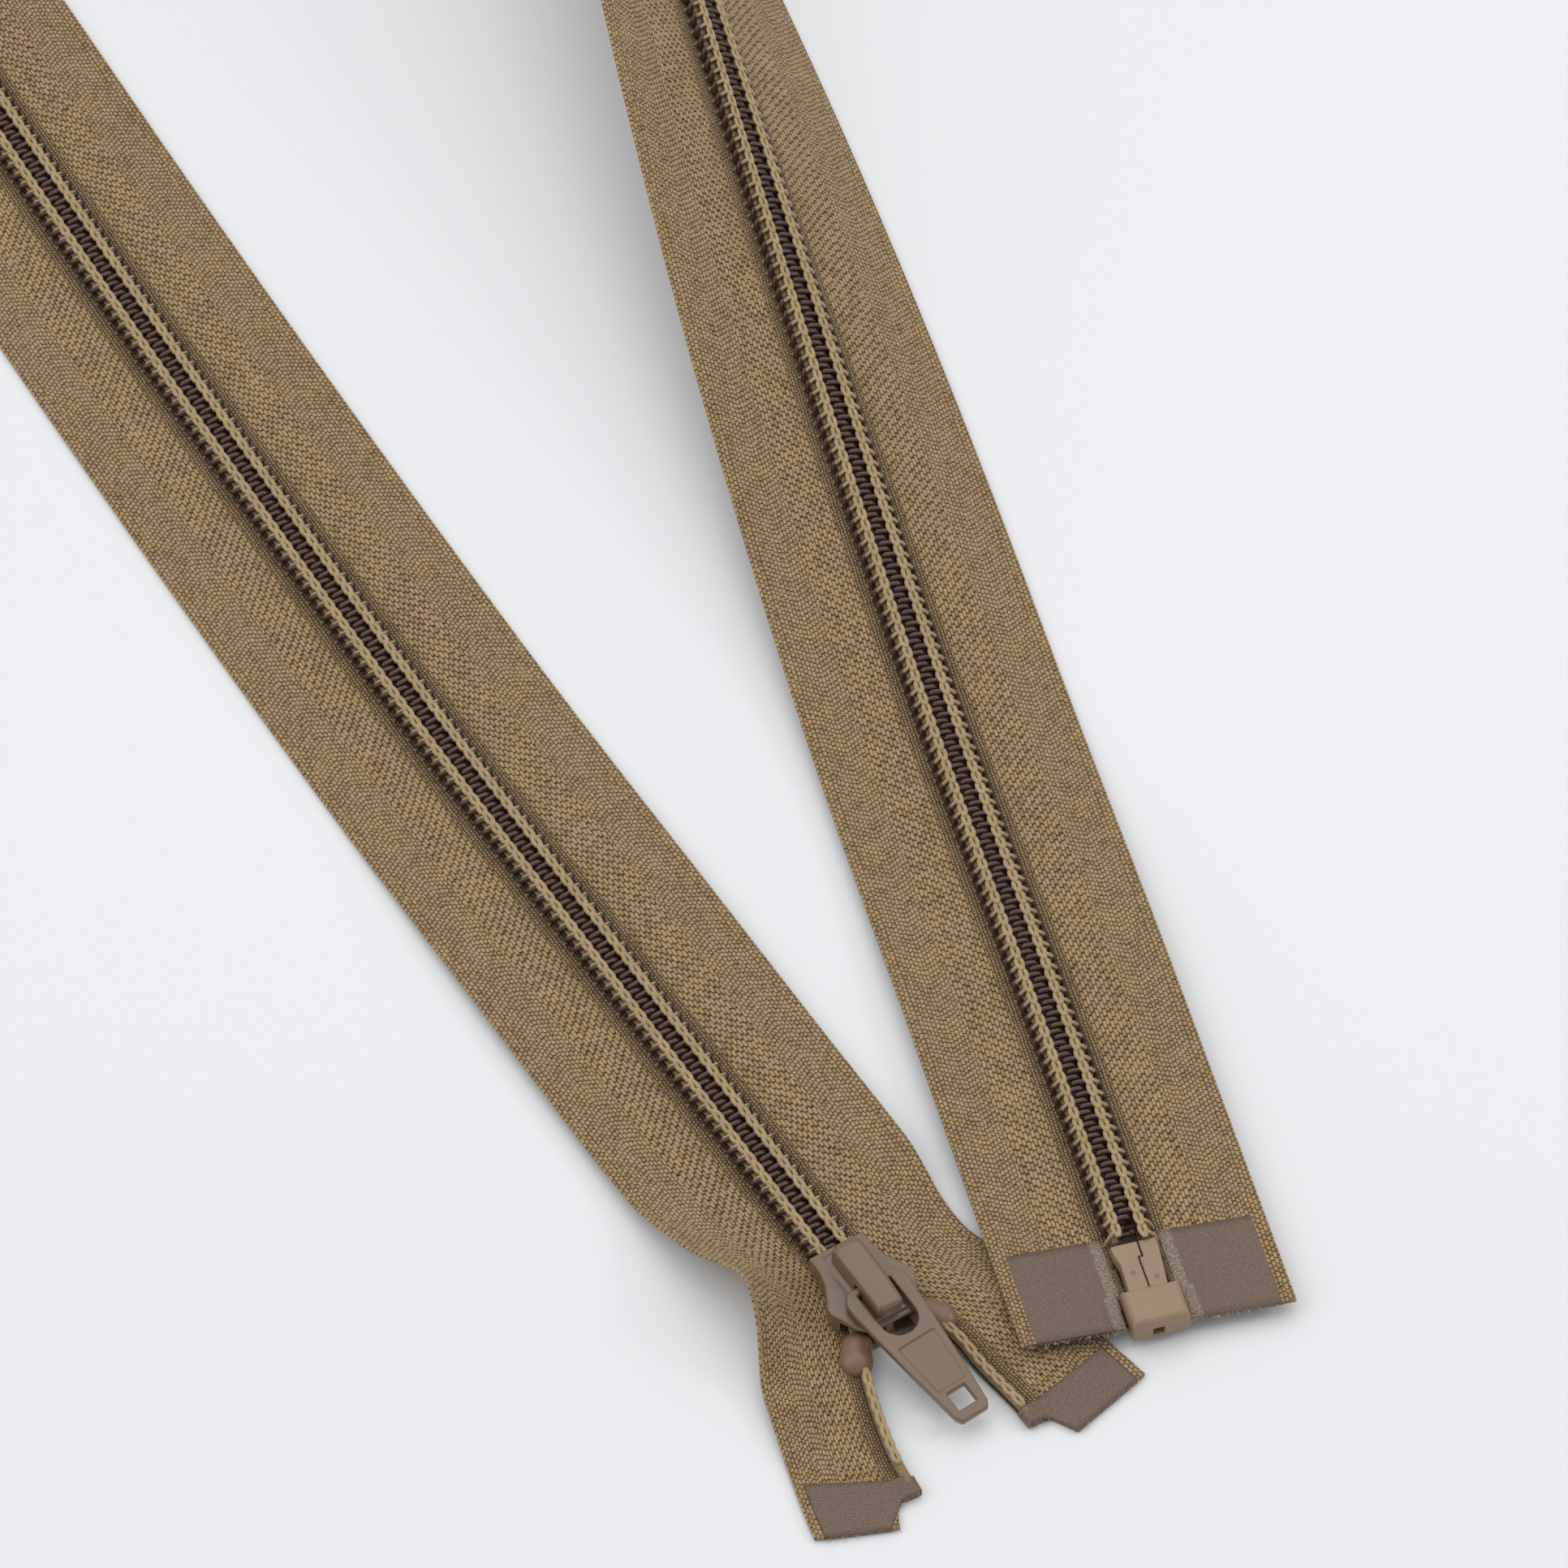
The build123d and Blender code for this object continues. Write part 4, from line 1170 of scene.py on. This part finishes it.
def pin_shape(outline, mark):
    """A flat pin with a small dimple at mark."""

    def shape(x, y, z):
        pin = extruded(polygon_distance(x, y, outline), z, 1.45, 3.95, 0.16)
        dot = np.sqrt((x - mark[0]) ** 2 + (y - mark[1]) ** 2 + (z - 4.0) ** 2) - 0.28
        return cut(pin, dot, 0.05)

    return shape


# ---- Build every piece ----
BLEND_HALF = 5
BLEND_START = Vector(at_slider([(-BEND_AT - BLEND_HALF, 0, 0)])[0] * MM)
BLEND_END = Vector(at_slider([(-BEND_AT + BLEND_HALF, 0, 0)])[0] * MM)


def bends(piece, top, slot, *nodes):
    """A piece that crosses from the chain to a tape top: its transform is baked into its mesh, and the CAD
    nodes that it replaces are hidden.
    """
    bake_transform(piece)
    if nodes:
        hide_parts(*nodes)


def rides(piece, body, slot, *nodes):
    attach(piece, body)
    if nodes:
        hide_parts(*nodes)


for name, side in SIDES.items():
    top = f"{name}_top"
    cloth, top_cloth = chain_tape(name), top_tape(name)
    rides(cloth, "chain", "tape", f"{name}_tape")
    bends(top_cloth, top, "tape", f"{name}_tape_top")
    rides(coil(name, top=False), "chain", "coil", f"{name}_coil")
    bends(coil(name, top=True), top, "coil", f"{name}_coil_top")
    rides(chain_stitches(name), "chain", "thread", f"{name}_stitching")
    bends(top_stitches(name), top, "thread", f"{name}_stitching_top")
    rides(back_stitches(name), "chain", "thread")
    rides(chain_cord(name), "chain", "cord", f"{name}_filler_cord")
    bends(top_cord(name), top, "cord", f"{name}_filler_cord_top")
    rides(chain_selvage(name), "chain", "thread")
    bends(top_selvage(name), top, "thread")
    rides(tail_fray(name), top, "thread")
    rides(box_fray(name), "chain", "thread")
    rides(box_film(name), "chain", "film", f"{name}_bottom_film")
    rides(tail_film(name), top, "film", f"{name}_top_film")

    def at_stop(points, side=side):
        return at_slider(points * np.array([1, side, 1]))

    stop_name = f"{name}_stop_moulding"
    stop = cast(stop_name, stop_shape, (9, 2.0, 0.2), (16, 8, 3.6), 0.12, at_stop, stop_material)
    if side < 0:
        stop.data.flip_normals()
    rides(stop, top, "moulding", f"{name}_top_stop")

box_pin = pin_shape(BOX_PIN, (4.1, -1.2))
insert_pin = pin_shape(INSERT_PIN, (5.2, 1.2))
# Each piece: name, shape, low and high corners, cell size, body and the CAD node that it replaces
CASTINGS = [
    ("slider_casting", slider_body_shape, (-0.3, -5.5, 0), (12, 5.5, 5.2), 0.11, "slider", "slider_body"),
    ("crown_cap", crown_shape, (1.0, -2.2, 4.3), (12.2, 2.2, 7.8), 0.09, "slider", "slider_crown"),
    ("pull_casting", pull_shape, (-1, -4.2, -0.8), (19.8, 4.2, 0.8), 0.1, "pull", "pull_tab"),
    ("box_moulding", box_shape, (6, -3.6, 0.7), (11.5, 3.6, 4.6), 0.1, "chain", "retainer_box"),
    ("box_pin_moulding", box_pin, (0, -3, 1.2), (7, 0.8, 4.2), 0.09, "chain", "box_pin"),
    ("insertion_pin_moulding", insert_pin, (0, -0.2, 1.2), (7, 3, 4.2), 0.09, "chain", "insertion_pin"),
]
# Where the castings of each body are, with their material and slot
FINISH = {
    "slider": (at_slider, paint_material, "slider_paint"),
    "pull": (at_pull, paint_material, "slider_paint"),
    "chain": (at_box, moulded_material, "moulding"),
}
for name, shape, low, high, step, body, node in CASTINGS:
    place, material, slot = FINISH[body]
    rides(cast(name, shape, low, high, step, place, material), body, slot, node)

# ---- The CAD node whose shape is right already ----
spring_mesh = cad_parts["lock_spring"].data
spring_mesh.materials.clear()
spring_mesh.materials.append(steel_material)


# ---- Floor, light and camera, in metres ----
FLOOR_HALF = 4.0
LIT = (0.03, -0.05, 0)  # the lamps point here
# name, place, size, power and colour
LAMPS = [
    ("ceiling_light", (0.15, 0.45, 1.3), 1.9, 8.6, (1.0, 0.985, 0.965)),
    ("side_light", (0.75, 0.0, 0.45), 0.2, 0.8, (1.0, 0.98, 0.95)),
    ("fill_light", (-1.0, -0.3, 1.0), 1.4, 5.4, (0.96, 0.98, 1.0)),
]
SKY = (0.95, 0.97, 1.0, 1.0)
SKY_STRENGTH = 0.59


def floor():
    corners = [(FLOOR_HALF * x, FLOOR_HALF * y, 0) for x, y in ((-1, -1), (1, -1), (1, 1), (-1, 1))]
    mesh = bpy.data.meshes.new("floor")
    mesh.from_pydata(corners, [], [(0, 1, 2, 3)])
    look = Look("table_top", 0.65, Specular_IOR_Level=0.2)
    shade = look.noise(3.0, 1.0)
    look.put("Base Color", look.ramp(shade, (0.2, (0.80, 0.805, 0.82)), (0.8, (0.82, 0.825, 0.835))))
    mesh.materials.append(look.material)
    made = linked("floor", mesh)


def lamp(name, at, size, power, colour):
    light = bpy.data.lights.new(name, "AREA")
    light.shape = "DISK"
    light.size = size
    light.energy = power
    light.color = colour
    made = linked(name, light)
    made.location = at
    made.rotation_mode = "QUATERNION"
    made.rotation_quaternion = (Vector(LIT) - Vector(at)).to_track_quat("-Z", "Y")


VIEW_CENTRE = (45.63, -74.52)  # the place on the floor that the camera points at, in mm
VIEW_TILT = math.radians(37.0)  # from straight down
VIEW_DISTANCE = 1451.9
LENS = 292.5


def camera():
    data = bpy.data.cameras.new("photo_view")
    data.sensor_width = 36.0
    data.lens = LENS
    data.clip_start = 0.05
    data.clip_end = 20.0
    made = linked("photo_view", data)
    x, y = VIEW_CENTRE
    back, high = VIEW_DISTANCE * math.sin(VIEW_TILT), VIEW_DISTANCE * math.cos(VIEW_TILT)
    made.location = (x * MM, (y - back) * MM, high * MM)
    made.rotation_euler = (VIEW_TILT, 0, 0)
    bpy.context.scene.camera = made


floor()
camera()
world = bpy.data.worlds.new("soft_room")
world.use_nodes = True
world.node_tree.nodes["Background"].inputs[0].default_value = SKY
world.node_tree.nodes["Background"].inputs[1].default_value = SKY_STRENGTH
bpy.context.scene.world = world
for values in LAMPS:
    lamp(*values)
bpy.context.scene.view_settings.view_transform = "Standard"
